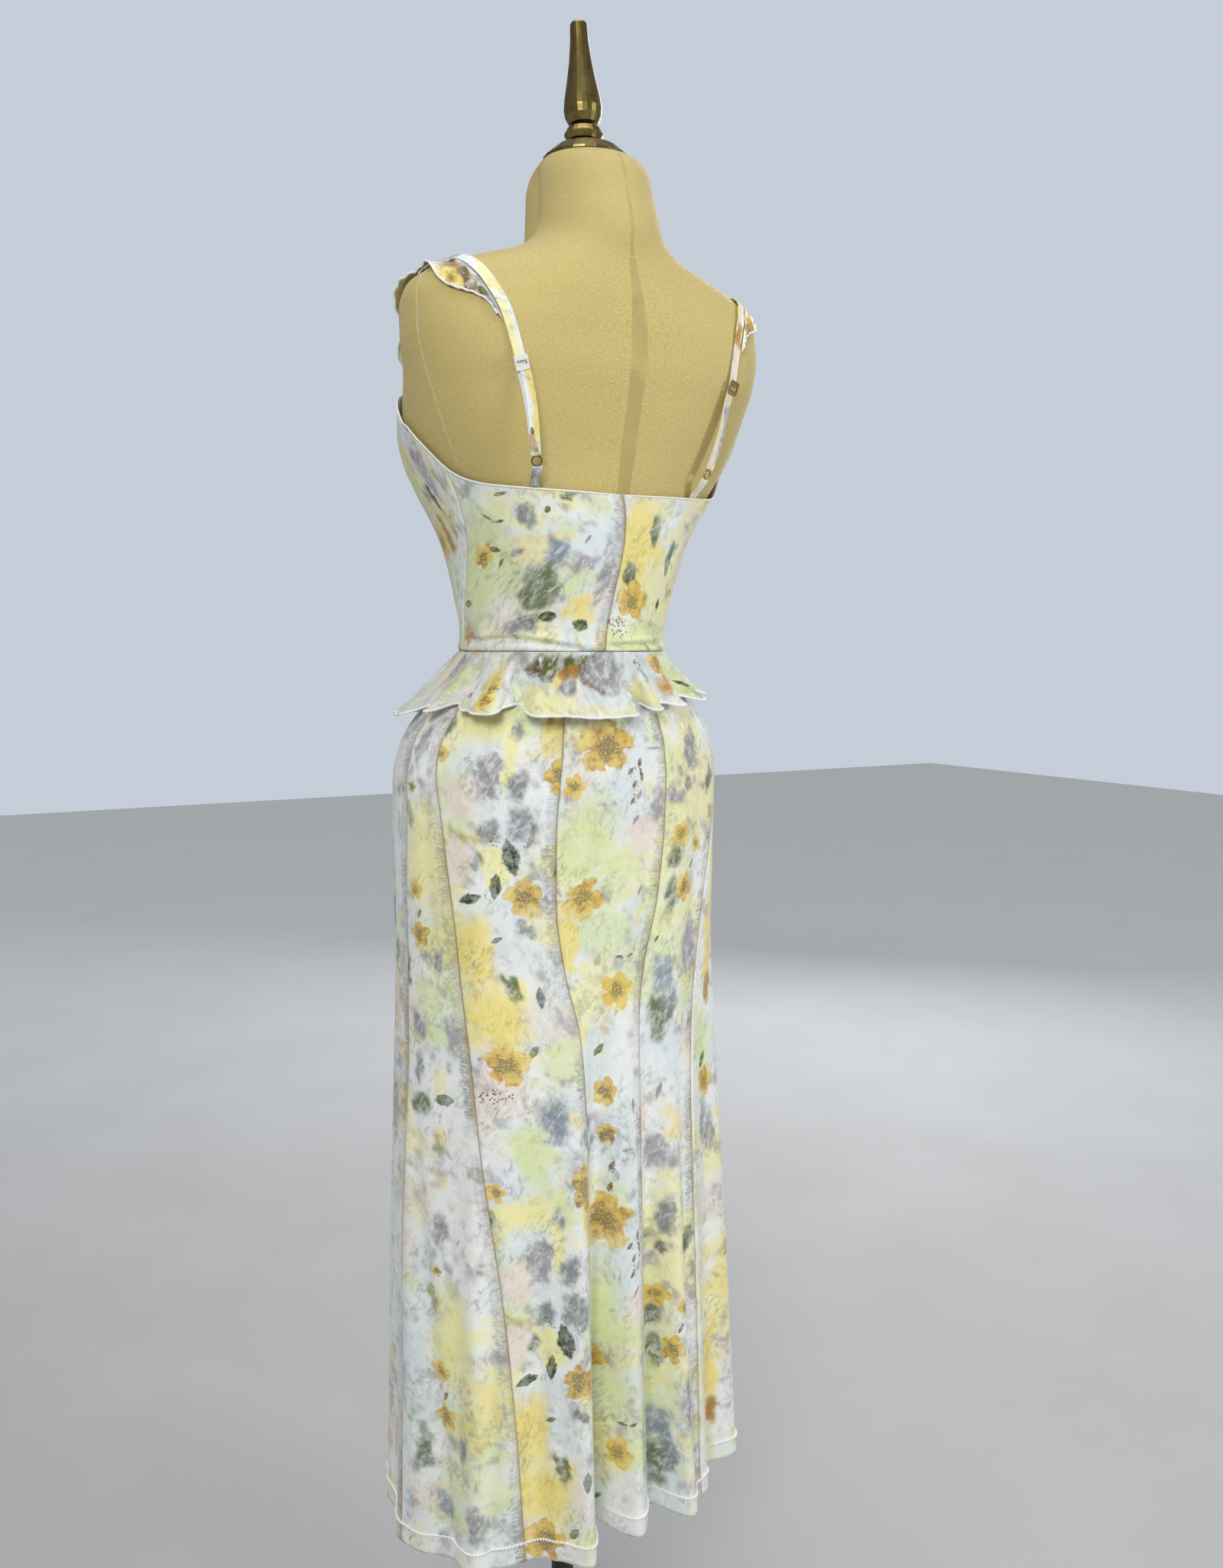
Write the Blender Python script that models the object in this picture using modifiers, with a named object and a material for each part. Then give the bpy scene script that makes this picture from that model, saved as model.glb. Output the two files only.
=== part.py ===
"""Floral dress with a peplum and ruffled straps, on a limbless dress form.

The dress is cut as the real one is: two back and two front bodice pieces, a ruffle sewn into the
waist seam, ten skirt gores, and straps with a slider, a ring and a flutter ruffle each. Every
piece of cloth is a thin wall round the form, worked out from the tables of sections below.

Metres, +Z up, standing on the floor at z = 0. The front faces -Y, the back +Y, and the wearer's
left is +X. Angles run round the body from the centre back, towards the wearer's left.
"""

import bpy
import numpy as np
from mathutils import Matrix

# Driving sizes
WAIST_HEIGHT = 1.20
SKIRT_LENGTH = 0.92
CLOTH = 0.0012
STRAP_DOUBLE = 2 * CLOTH
EASE = 0.0050
STEEPEST = 0.6
SEAM_GAP = 0.0003
STRAP_WIDTH = 0.0105
STRAP_LIFT = 0.0022
RING_RADIUS = 0.0046
RING_WIRE = 0.0007
SLIDER_WIDTH = 0.0125
SLIDER_HEIGHT = 0.0130
SLIDER_THICKNESS = 0.0014
SLIDER_BAR = 0.0016
NECK_TOP = 0.478
FORM_BOTTOM = -0.300
FINIAL_LEAN = 3.0
POLE_RADIUS = 0.0125
BASE_RADIUS = 0.150
BASE_TOP = 0.050
BASE_RIM = 0.009
FORM_SIDES = 32

# The dome at the neck's top is centred behind the middle, and the finial stands a little aside
NECK_CENTRE_Y = 0.0666
FINIAL_ASIDE = 0.003
FINIAL_LEAN_AXIS = (0.485, 0.875, 0)

# Sections of the form. Heights are above the waist seam.
SECTION = ("height", "width", "mid", "back", "front", "back_square", "front_square")
FORM_ROWS = (
    (-0.300, 0.1580, -0.005, 0.1040, -0.1180, 2.2, 2.2),
    (-0.240, 0.1720, -0.004, 0.1080, -0.1270, 2.2, 2.2),
    (-0.170, 0.1760, -0.002, 0.1125, -0.1275, 2.2, 2.2),
    (-0.110, 0.1725, 0.001, 0.1130, -0.1200, 2.2, 2.2),
    (-0.060, 0.1470, 0.003, 0.1075, -0.0990, 2.2, 2.2),
    (-0.025, 0.1190, 0.004, 0.1010, -0.0860, 2.2, 2.1),
    (0.000, 0.1035, 0.005, 0.0995, -0.0810, 2.2, 2.1),
    (0.030, 0.1050, 0.006, 0.1010, -0.0810, 2.3, 2.1),
    (0.060, 0.1090, 0.007, 0.1080, -0.0860, 2.4, 2.2),
    (0.085, 0.1140, 0.008, 0.1155, -0.0930, 2.5, 2.2),
    (0.110, 0.1210, 0.009, 0.1215, -0.1000, 2.6, 2.2),
    (0.135, 0.1320, 0.010, 0.1270, -0.1070, 2.7, 2.2),
    (0.160, 0.1465, 0.012, 0.1330, -0.1130, 2.8, 2.2),
    (0.185, 0.1605, 0.016, 0.1400, -0.1145, 2.8, 2.2),
    (0.210, 0.1725, 0.024, 0.1475, -0.1080, 2.7, 2.1),
    (0.240, 0.1800, 0.036, 0.1550, -0.0900, 2.7, 1.85),
    (0.270, 0.1850, 0.047, 0.1610, -0.0700, 2.8, 1.65),
    (0.300, 0.1890, 0.053, 0.1620, -0.0540, 2.7, 1.85),
    (0.325, 0.1890, 0.056, 0.1590, -0.0420, 2.5, 2.1),
    (0.342, 0.1840, 0.058, 0.1560, -0.0340, 2.3, 2.1),
    (0.355, 0.1680, 0.060, 0.1540, -0.0290, 2.2, 2.1),
    (0.366, 0.1400, 0.061, 0.1530, -0.0250, 2.1, 2.1),
    (0.378, 0.1080, 0.062, 0.1525, -0.0220, 2.0, 2.0),
    (0.392, 0.0820, 0.062, 0.1520, -0.0200, 2.0, 2.0),
    (0.410, 0.0680, 0.062, 0.1500, -0.0190, 2.0, 2.0),
    (0.478, 0.0600, 0.062, 0.1300, -0.0150, 2.0, 2.0),
)

# More rings of the form, so that it stays clear of the bodice at the waist
MORE_RINGS = (-0.012, 0.015)

# The neck is two round lobes side by side, nape and throat. They take over above the shoulders.
NECK_FROM, NECK_FULL = 0.365, 0.415
LOBES = ("height", "nape", "nape_y", "throat", "throat_y")
NECK_ROWS = (
    (0.365, 0.0720, 0.0900, 0.0560, 0.0300),
    (0.390, 0.0650, 0.0930, 0.0500, 0.0300),
    (0.410, 0.0600, 0.0920, 0.0470, 0.0310),
    (0.430, 0.0570, 0.0880, 0.0460, 0.0315),
    (0.455, 0.0542, 0.0836, 0.0455, 0.0322),
    (0.467, 0.0515, 0.0790, 0.0450, 0.0380),
    (0.474, 0.0480, 0.0735, 0.0445, 0.0500),
    (0.478, 0.0425, 0.0666, 0.0425, 0.0660),
)

LOBE_BLEND = 24

# Outlines of the turned brass pieces, as (radius, height above the piece's own foot)
CAP = ((0, 0.019), (0.018, 0.018), (0.032, 0.013), (0.0405, 0.0055), (0.0433, 0.003),
       (0.0433, 0.001), (0.0420, 0), (0, 0))
COLLAR = ((0, 0.0135), (0.0120, 0.0135), (0.0165, 0.0125), (0.0195, 0.0068), (0.0165, 0.0012),
          (0.0120, 0), (0, 0))
FINIAL = ((0, 0.0985), (0.0070, 0.0980), (0.0083, 0.0960), (0.0092, 0.080), (0.0112, 0.062),
          (0.0145, 0.043), (0.0178, 0.027), (0.0189, 0.0175), (0.0180, 0.010), (0.0145, 0.003),
          (0.0065, 0), (0, 0))

# Sections of the skirt's outer face, before its flutes
SKIRT_ROWS = (
    (0.000, 0.1085, 0.005, 0.1045, -0.0860, 2.2, 2.1),
    (-0.025, 0.1240, 0.004, 0.1060, -0.0910, 2.2, 2.1),
    (-0.060, 0.1520, 0.003, 0.1125, -0.1040, 2.2, 2.2),
    (-0.097, 0.1740, 0.002, 0.1180, -0.1220, 2.2, 2.2),
    (-0.132, 0.1805, 0.000, 0.1190, -0.1300, 2.2, 2.2),
    (-0.220, 0.1810, -0.003, 0.1160, -0.1345, 2.2, 2.2),
    (-0.300, 0.1800, -0.004, 0.1160, -0.1350, 2.2, 2.2),
    (-0.400, 0.1815, -0.004, 0.1210, -0.1370, 2.2, 2.2),
    (-0.515, 0.1860, -0.004, 0.1280, -0.1400, 2.2, 2.2),
    (-0.640, 0.1910, -0.004, 0.1330, -0.1440, 2.2, 2.2),
    (-0.780, 0.1955, -0.003, 0.1385, -0.1490, 2.2, 2.2),
    (-0.920, 0.2000, -0.003, 0.1440, -0.1540, 2.2, 2.2),
)

# Flutes of the skirt: how far each ridge stands out at the hem, or each hollow in
FLUTE = ("angle", "out")
FLUTES_FROM = -0.28
FLUTE_GROWTH = 1.1
SKIRT_FLUTES = (
    (-180, 0.022),
    (-166, -0.018),
    (-152, 0.020),
    (-138, -0.014),
    (-124, 0.010),
    (-106, -0.010),
    (-90, 0.004),
    (-74, -0.014),
    (-58, 0.012),
    (-44, -0.018),
    (-31, 0.006),
    (-19.5, 0.022),
    (-12, -0.018),
    (-2.6, 0.014),
    (4.6, -0.026),
    (12, 0.032),
    (20, 0.014),
    (28, 0.006),
    (44, 0.022),
    (60, 0.008),
    (76, 0.014),
    (92, -0.004),
    (106, 0.002),
    (121, -0.016),
    (136, 0.010),
    (151, -0.016),
    (166, 0.016),
    (180, 0.022),
)

# Heights of the rings that each gore is made through
GORE_HEIGHTS = (0, -0.025, -0.06, -0.097, -0.132, -0.18, -0.25, -0.32, -0.40, -0.50, -0.60, -0.70,
                -0.81, -SKIRT_LENGTH)

# Seams of the skirt, as angles at each height, from the left side seam round the back and front
SKIRT_SEAMS = ("height", "side_left", "outer_left", "inner_left", "inner_right", "outer_right",
               "side_right", "front_outer_right", "front_inner_right", "front_inner_left",
               "front_outer_left")
SEAM_ROWS = (
    (0.000, 88, 66, 19, -21, -63, -88, -116, -159, 159, 116),
    (-0.100, 84, 65, 15.5, -20, -60, -86, -116, -160, 160, 116),
    (-0.180, 83, 60, 17, -19.5, -55, -86, -120, -161, 161, 120),
    (-0.250, 84, 56, 17, -17, -47, -86, -124, -162, 162, 124),
    (-0.320, 84, 53, 14.5, -12, -41, -86, -128, -165, 165, 128),
    (-0.400, 83, 49, 9.6, -9, -35, -85, -132, -168, 168, 132),
    (-0.500, 82, 44.5, 8.2, -8.8, -31, -85, -136, -170, 170, 136),
    (-0.640, 80, 37, 8.6, -8.6, -30, -85, -142, -171, 171, 142),
    (-0.780, 78, 32.5, 9.0, -7.2, -29.2, -85, -146, -171, 171, 146),
    (-0.920, 76, 29.5, 9.4, -5.8, -28.2, -85, -149, -171, 171, 149),
)

# Top edge of the bodice, from the centre back to the point of the V at the centre front
TOP_EDGE = ("angle", "height")
TOP_EDGE_ROWS = (
    (0, 0.1510),
    (30, 0.1535),
    (50, 0.1570),
    (62, 0.1630),
    (70, 0.1720),
    (76, 0.1850),
    (84, 0.2050),
    (95, 0.2300),
    (108, 0.2480),
    (122, 0.2560),
    (129, 0.2560),
    (138, 0.2300),
    (150, 0.1900),
    (165, 0.1520),
    (180, 0.1300),
)

# The bodice has a ring point at least every so many degrees
BODICE_STEP = 7

# Side seams and centre back seam of the bodice, as angles at each height
BODICE_SEAMS = ("height", "left", "right", "centre")
BODICE_SEAM_ROWS = (
    (0.000, 94, -84, 0.0),
    (0.030, 92, -76, -1.0),
    (0.060, 87, -66, -2.0),
    (0.100, 79, -53, -2.5),
    (0.130, 74, -50, -1.5),
    (0.160, 72, -48, 0.0),
    (0.200, 72, -48, 0.0),
)

# Ruffle at the waist: how far each wave stands out at its hem, in parts of WAVE_HEIGHT. It
# stands off the skirt at its hem, its hollows lift the hem, and its gathers pad the seam.
WAVE_HEIGHT = 0.009
PEPLUM_STANDOFF = 0.0105
PEPLUM_LIFT = 0.009
PEPLUM_FLARE = 1.2
GATHER = 0.0008
PEPLUM_HEM = ("angle", "drop")
PEPLUM_HEM_ROWS = (
    (-180, 0.064),
    (-130, 0.060),
    (-95, 0.050),
    (-75, 0.046),
    (-64, 0.047),
    (-45, 0.052),
    (-33, 0.055),
    (-18, 0.058),
    (0, 0.0645),
    (20, 0.063),
    (48, 0.059),
    (70, 0.059),
    (94, 0.063),
    (130, 0.064),
    (180, 0.064),
)
PEPLUM_WAVES = (
    (-180, 1.0),
    (-169, -0.8),
    (-158, 0.9),
    (-147, -0.9),
    (-136, 1.0),
    (-125, -0.8),
    (-114, 0.9),
    (-103, -0.9),
    (-92, 0.9),
    (-82, -0.7),
    (-71, 0.9),
    (-58, -0.8),
    (-47, 0.7),
    (-37, -0.9),
    (-28, 0.7),
    (-21, -0.2),
    (-15, 0.8),
    (-10, -1.0),
    (-3, 0.7),
    (6, 1.0),
    (18, 0.7),
    (28, 0.9),
    (37, -0.9),
    (48, 1.0),
    (57, 0.5),
    (66, -0.9),
    (75, 0.7),
    (84, -0.7),
    (94, 1.0),
    (104, -0.9),
    (115, 0.9),
    (126, -0.8),
    (137, 1.0),
    (148, -0.9),
    (159, 0.9),
    (170, -0.8),
    (180, 1.0),
)

# Middle line of the left strap on the form, from the back's top edge up over the shoulder. The
# bridge is how far the taut strap stands off the hollow under the shoulder blade.
STRAP_LINE = ("height", "left", "right", "bridge", "side")
STRAP_ROWS = (
    (0.1552, 0.0855, 0.0872, 0.0010, 1),
    (0.1800, 0.0885, 0.0920, 0.0105, 1),
    (0.2150, 0.0970, 0.1030, 0.0085, 1),
    (0.2600, 0.1110, 0.1145, 0.0025, 1),
    (0.2950, 0.1215, 0.1225, 0.0000, 1),
    (0.3250, 0.1330, 0.1330, 0.0000, 1),
    (0.3450, 0.1430, 0.1430, 0.0000, 1),
    (0.3560, 0.1500, 0.1500, 0.0000, 1),
    (0.3590, 0.1545, 0.1545, 0.0000, 1),
    (0.3560, 0.1580, 0.1580, 0.0000, -1),
    (0.3450, 0.1600, 0.1600, 0.0000, -1),
    (0.3250, 0.1590, 0.1590, 0.0000, -1),
    (0.2950, 0.1550, 0.1550, 0.0010, -1),
    (0.2580, 0.1480, 0.1480, 0.0030, -1),
)
RING_PLACE, SLIDER_PLACE = 0.0285, 0.1165

# Outer edge of the left shoulder ruffle, from its rear end over the shoulder to the front
RUFFLE_EDGE = ("share", "x", "y", "height")
RUFFLE_ROWS = (
    (0.00, 0.1340, 0.1478, 0.3010),
    (0.08, 0.1400, 0.1425, 0.3125),
    (0.15, 0.1512, 0.1344, 0.3205),
    (0.22, 0.1600, 0.1279, 0.3240),
    (0.29, 0.1681, 0.1194, 0.3285),
    (0.36, 0.1735, 0.1080, 0.3370),
    (0.43, 0.1755, 0.0950, 0.3500),
    (0.49, 0.1765, 0.0820, 0.3590),
    (0.56, 0.1800, 0.0640, 0.3540),
    (0.63, 0.1850, 0.0460, 0.3450),
    (0.70, 0.1840, 0.0280, 0.3330),
    (0.78, 0.1780, 0.0100, 0.3150),
    (0.87, 0.1720, -0.0070, 0.2930),
    (0.95, 0.1635, -0.0200, 0.2760),
    (1.00, 0.1600, -0.0260, 0.2660),
)
RUFFLE_SHORT = 0.002
RUFFLE_WAVE = 0.005
RUFFLE_WAVES = 3.4
RUFFLE_PUFF = 0.006
RUFFLE_FROM = 0.155


def column(names, rows, wanted):
    """One named column of a table, as an array."""
    return np.array([row[names.index(wanted)] for row in rows], float)


def smooth(x, xs, ys):
    """Monotone cubic curve through the points (xs, ys), read at x. xs rise."""
    x = np.asarray(x, float)
    steps, rises = np.diff(xs), np.diff(ys)
    slopes = rises / steps
    tangents = np.zeros(len(xs))
    product = slopes[:-1] * slopes[1:]
    mean = 2 * product / np.where(product > 0, slopes[:-1] + slopes[1:], 1)
    tangents[1:-1] = np.where(product > 0, mean, 0)
    tangents[0], tangents[-1] = slopes[0], slopes[-1]
    i = np.clip(np.searchsorted(xs, x) - 1, 0, len(xs) - 2)
    u = np.clip((x - xs[i]) / steps[i], 0, 1)
    held = ys[i] + rises[i] * u * u * (3 - 2 * u)
    return held + steps[i] * (tangents[i] * u * (1 - u) ** 2 - tangents[i + 1] * u * u * (1 - u))


def read(names, rows, wanted, height):
    """A column of a table as a smooth function of its first column."""
    keys = column(names, rows, names[0])
    values = column(names, rows, wanted)
    order = np.argsort(keys)
    return smooth(height, keys[order], values[order])


def eased(angle, rows):
    """Waves: ridges and hollows at the table's angles, joined by cosine slopes."""
    angle = (np.asarray(angle, float) + 180) % 360 - 180
    keys = column(FLUTE, rows, "angle")
    values = column(FLUTE, rows, "out")
    i = np.clip(np.searchsorted(keys, angle) - 1, 0, len(keys) - 2)
    u = (angle - keys[i]) / (keys[i + 1] - keys[i])
    return values[i] + (values[i + 1] - values[i]) * (0.5 - 0.5 * np.cos(np.pi * u))


def step(value, low, high):
    """0 below low, 1 above high, and a smooth rise between."""
    u = np.clip((value - low) / (high - low), 0, 1)
    return u * u * (3 - 2 * u)


def section(rows, angle, height):
    """A point of a superellipse section, round the body at an angle and at a height."""
    angle, height = np.broadcast_arrays(np.asarray(angle, float), np.asarray(height, float))
    s, c = np.sin(np.radians(angle)), np.cos(np.radians(angle))
    width, mid, back, front, back_square, front_square = (
        read(SECTION, rows, name, height) for name in SECTION[1:]
    )
    square = np.where(c > 0, back_square, front_square)
    reach = np.where(c > 0, back - mid, mid - front)
    x = width * np.sign(s) * np.abs(s) ** (2 / square)
    y = mid + reach * np.sign(c) * np.abs(c) ** (2 / square)
    return np.stack([x, y, height], -1)


def neck(angle, height):
    """The outline of two overlapping discs, seen from the middle between them."""
    angle, height = np.broadcast_arrays(np.asarray(angle, float), np.asarray(height, float))
    s, c = np.sin(np.radians(angle)), np.cos(np.radians(angle))
    nape, nape_y, throat, throat_y = (read(LOBES, NECK_ROWS, name, height) for name in LOBES[1:])
    mid = (nape_y + throat_y) / 2
    apart = (nape_y - throat_y) / 2
    behind = apart * c + np.sqrt(nape**2 - (apart * s) ** 2)
    before = -apart * c + np.sqrt(throat**2 - (apart * s) ** 2)
    reach = (behind**LOBE_BLEND + before**LOBE_BLEND) ** (1 / LOBE_BLEND)
    return np.stack([reach * s, mid + reach * c, height], -1)


def form_face(angle, height):
    """A point of the dress form, at an angle and a height above the waist."""
    body = section(FORM_ROWS, angle, height)
    share = step(np.asarray(height, float), NECK_FROM, NECK_FULL)[..., None]
    return body + (neck(angle, height) - body) * share


def outward(face, angle, height):
    """Unit normal of a face, from small steps along the angle and the height."""
    around = face(angle + 0.5, height) - face(angle - 0.5, height)
    up = face(angle, height + 0.001) - face(angle, height - 0.001)
    normal = np.cross(up, around)
    return normal / np.linalg.norm(normal, axis=-1, keepdims=True)


def level_outward(face, angle, height):
    """The outward normal with its rise taken out, so that an offset keeps its height."""
    normal = outward(face, angle, height)
    normal[..., 2] = 0
    return normal / np.linalg.norm(normal, axis=-1, keepdims=True)


def bodice_face(angle, height):
    """Outer face of the bodice: EASE off the form, measured square to it, at the same height."""
    normal = outward(form_face, angle, height)
    level = np.linalg.norm(normal[..., :2], axis=-1, keepdims=True)
    across = normal * np.array([1, 1, 0]) / level
    return form_face(angle, height) + EASE / np.maximum(level, STEEPEST) * across


def plain_skirt(angle, height):
    """Outer face of the skirt before its flutes."""
    return section(SKIRT_ROWS, angle, height)


def skirt_face(angle, height):
    """Outer face of the skirt: flutes grow from below the hips to the hem."""
    growth = np.clip((FLUTES_FROM - height) / (SKIRT_LENGTH + FLUTES_FROM), 0, 1) ** FLUTE_GROWTH
    out = eased(angle, SKIRT_FLUTES) * growth
    return plain_skirt(angle, height) + out[..., None] * level_outward(plain_skirt, angle, height)


def peplum_face(angle, rise):
    """Outer face of the waist ruffle: rise runs from -1 at its hem to 0 at the seam."""
    down = -rise
    wave = eased(angle, PEPLUM_WAVES)
    drop = read(PEPLUM_HEM, PEPLUM_HEM_ROWS, "drop", (np.asarray(angle, float) + 180) % 360 - 180)
    height = -SEAM_GAP - down * (drop - PEPLUM_LIFT * (0.5 - 0.5 * wave) * down)
    reach = np.maximum(down, 0) ** PEPLUM_FLARE
    away = CLOTH + SEAM_GAP + PEPLUM_STANDOFF * down + WAVE_HEIGHT * wave * reach
    away = away + GATHER * (1 + wave) * (1 - down)
    return plain_skirt(angle, height) + away[..., None] * level_outward(plain_skirt, angle, height)


def top_edge(angle):
    """Height of the bodice's top edge at an angle."""
    return read(TOP_EDGE, TOP_EDGE_ROWS, "height", np.abs(angle))


def lifted(points):
    """Points given from the waist, moved to their height above the floor."""
    return points + np.array([0, 0, WAIST_HEIGHT])


def material(name, colour, roughness, metallic=0.0):
    """A plain Principled material."""
    made = bpy.data.materials.new(name)
    made.use_nodes = True
    shader = made.node_tree.nodes["Principled BSDF"]
    shader.inputs["Base Color"].default_value = (*colour, 1)
    shader.inputs["Roughness"].default_value = roughness
    shader.inputs["Metallic"].default_value = metallic
    return made


def mesh_object(name, points, faces, finish):
    """A mesh object in the model's collection."""
    mesh = bpy.data.meshes.new(name)
    mesh.from_pydata([tuple(p) for p in points], [], [tuple(int(i) for i in f) for f in faces])
    mesh.materials.append(finish)
    mesh.shade_smooth()
    made = bpy.data.objects.new(name, mesh)
    MODEL.objects.link(made)
    return made


def grid_faces(rows, columns, closed=False):
    """Quads of a grid whose first index runs round the body and second runs up it."""
    i, j = np.meshgrid(np.arange(rows if closed else rows - 1), np.arange(columns - 1), indexing="ij")
    i, j = i.ravel(), j.ravel()
    after = (i + 1) % rows
    return np.stack([i * columns + j, i * columns + j + 1, after * columns + j + 1, after * columns + j], 1)


def cloth_wall(name, grid, finish, thickness=CLOTH):
    """A sheet given as a grid of outer points, with its wall on the inner side."""
    rows, columns = grid.shape[:2]
    made = mesh_object(name, lifted(grid).reshape(-1, 3), grid_faces(rows, columns), finish)
    wall = made.modifiers.new("Wall", "SOLIDIFY")
    wall.thickness = thickness
    wall.offset = -1
    return made


def lined_wall(name, face, angle, height, finish):
    """A cloth wall on a face's own points: the inner side follows the face's true normals.

    Both sides of the wall are split along the same diagonals, those nearer the face, so that its
    thickness holds where the cloth twists.
    """
    outer = face(angle, height)
    inner = outer - CLOTH * outward(face, angle, height)
    rows, columns = outer.shape[:2]
    count = rows * columns
    index = np.arange(count).reshape(rows, columns)
    border = np.concatenate([index[:, 0], index[-1, 1:], index[-2::-1, -1], index[0, -2:0:-1]])
    after = np.roll(border, -1)
    a, b, c, d = grid_faces(rows, columns).T
    flat_angle, flat_height, flat_points = angle.ravel(), height.ravel(), outer.reshape(-1, 3)
    middle = face((flat_angle[a] + flat_angle[c]) / 2, (flat_height[a] + flat_height[c]) / 2)
    first_miss = np.linalg.norm((flat_points[a] + flat_points[c]) / 2 - middle, axis=1)
    second_miss = np.linalg.norm((flat_points[b] + flat_points[d]) / 2 - middle, axis=1)
    turn = (second_miss < first_miss)[:, None]
    one = np.where(turn, np.stack([a, b, d], 1), np.stack([a, b, c], 1))
    two = np.where(turn, np.stack([b, c, d], 1), np.stack([a, c, d], 1))
    sides = np.concatenate([one, two])
    rim_one = np.stack([border, after, after + count], 1)
    rim_two = np.stack([border, after + count, border + count], 1)
    faces = np.concatenate([sides, sides[:, ::-1] + count, rim_one, rim_two])
    points = np.concatenate([flat_points, inner.reshape(-1, 3)])
    return mesh_object(name, lifted(points), faces, finish)


def turned(name, profile, centre, finish, steps=24):
    """A turned solid from a closed or axis-to-axis profile of (radius, height) points."""
    mesh = bpy.data.meshes.new(name)
    points = [(radius, 0, height) for radius, height in profile]
    mesh.from_pydata(points, [(i, i + 1) for i in range(len(points) - 1)], [])
    mesh.materials.append(finish)
    made = bpy.data.objects.new(name, mesh)
    made.location = centre
    MODEL.objects.link(made)
    screw = made.modifiers.new("Turn", "SCREW")
    screw.steps = steps
    screw.render_steps = steps
    screw.use_merge_vertices = True
    screw.merge_threshold = 0.00001
    screw.use_smooth_shade = True
    return made


def seam_angle(name, height):
    """Angle of one skirt seam at a height."""
    return read(SKIRT_SEAMS, SEAM_ROWS, name, height)


def gap_angle(face, angle, height):
    """The angle that half a seam's gap takes up at a point of a face."""
    one_degree = np.linalg.norm(face(angle + 0.5, height) - face(angle - 0.5, height), axis=-1)
    return 0.5 * SEAM_GAP / one_degree


def build_skirt(finish):
    """Ten gores between the seams, from the waist seam to the hem."""
    names = ("skirt_side_back_left", "skirt_back_left", "skirt_back_centre", "skirt_back_right",
             "skirt_side_back_right", "skirt_side_front_right", "skirt_front_right",
             "skirt_front_centre", "skirt_front_left", "skirt_side_front_left")
    seams = SKIRT_SEAMS[1:]
    columns = 10
    heights = np.array(GORE_HEIGHTS[::-1]) - SEAM_GAP / 2
    for k, name in enumerate(names):
        begin = seam_angle(seams[k], heights)
        end = seam_angle(seams[(k + 1) % len(seams)], heights)
        end = np.where(end > begin, end - 360, end)
        end = end + gap_angle(skirt_face, end, heights)
        begin = begin - gap_angle(skirt_face, begin, heights)
        across = np.linspace(0, 1, columns)[:, None]
        angle = end[None, :] + (begin - end)[None, :] * across
        lined_wall(name, skirt_face, angle, heights[None, :] + 0 * angle, finish)


def bodice_seam(seam, height):
    """Angle of one bodice seam at a height: a column of the table, if any, and a turn to add."""
    wanted, turn = seam
    if wanted is None:
        return turn + 0 * height
    return turn + read(BODICE_SEAMS, BODICE_SEAM_ROWS, wanted, height)


def build_bodice(finish):
    """Two back and two front pieces, from the waist seam to the top edge."""
    pieces = (
        ("bodice_back_left", ("centre", 0), ("left", 0)),
        ("bodice_front_left", ("left", 0), (None, 180)),
        ("bodice_front_right", (None, 180), ("right", 360)),
        ("bodice_back_right", ("right", 360), ("centre", 360)),
    )
    rows = 10
    for name, begin, end in pieces:
        columns = int((bodice_seam(end, 0.1) - bodice_seam(begin, 0.1)) / BODICE_STEP) + 2
        share = np.linspace(0, 1, columns)[:, None]
        up = np.linspace(0, 1, rows)[None, :]
        height = 0.16 * up + 0 * share
        for _ in range(6):
            low, high = bodice_seam(begin, height), bodice_seam(end, height)
            low = low + gap_angle(bodice_face, low, height)
            high = high - gap_angle(bodice_face, high, height)
            angle = low + (high - low) * share
            folded = 180 - np.abs(angle - 180)
            height = SEAM_GAP / 2 + (top_edge(folded) - SEAM_GAP / 2) * up
        lined_wall(name, bodice_face, angle, height, finish)


def build_peplum(finish):
    """The ruffle, in a back and a front piece that meet at the side seams."""
    rows, columns = 4, 52
    rise = np.linspace(-1, 0, rows)[None, :]
    for name, begin, end in (("peplum_back", -88, 88), ("peplum_front", 88, 272)):
        share = np.linspace(0, 1, columns)[:, None]
        low = begin + gap_angle(peplum_face, begin, rise)
        high = end - gap_angle(peplum_face, end, rise)
        lined_wall(name, peplum_face, low + (high - low) * share, rise + 0 * share, finish)


def strap_line(side):
    """The strap's middle line as angles and heights on the form, and its length along the way."""
    heights = column(STRAP_LINE, STRAP_ROWS, "height")
    across = column(STRAP_LINE, STRAP_ROWS, "left" if side > 0 else "right")
    behind = column(STRAP_LINE, STRAP_ROWS, "side")
    widths = read(SECTION, FORM_ROWS, "width", heights)
    squares = np.where(behind > 0, read(SECTION, FORM_ROWS, "back_square", heights),
                       read(SECTION, FORM_ROWS, "front_square", heights))
    angles = np.degrees(np.arcsin(np.clip(across / widths, 0, 1) ** (squares / 2)))
    angles = np.where(behind > 0, angles, 180 - angles)
    return side * angles, heights, column(STRAP_LINE, STRAP_ROWS, "bridge")


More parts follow.
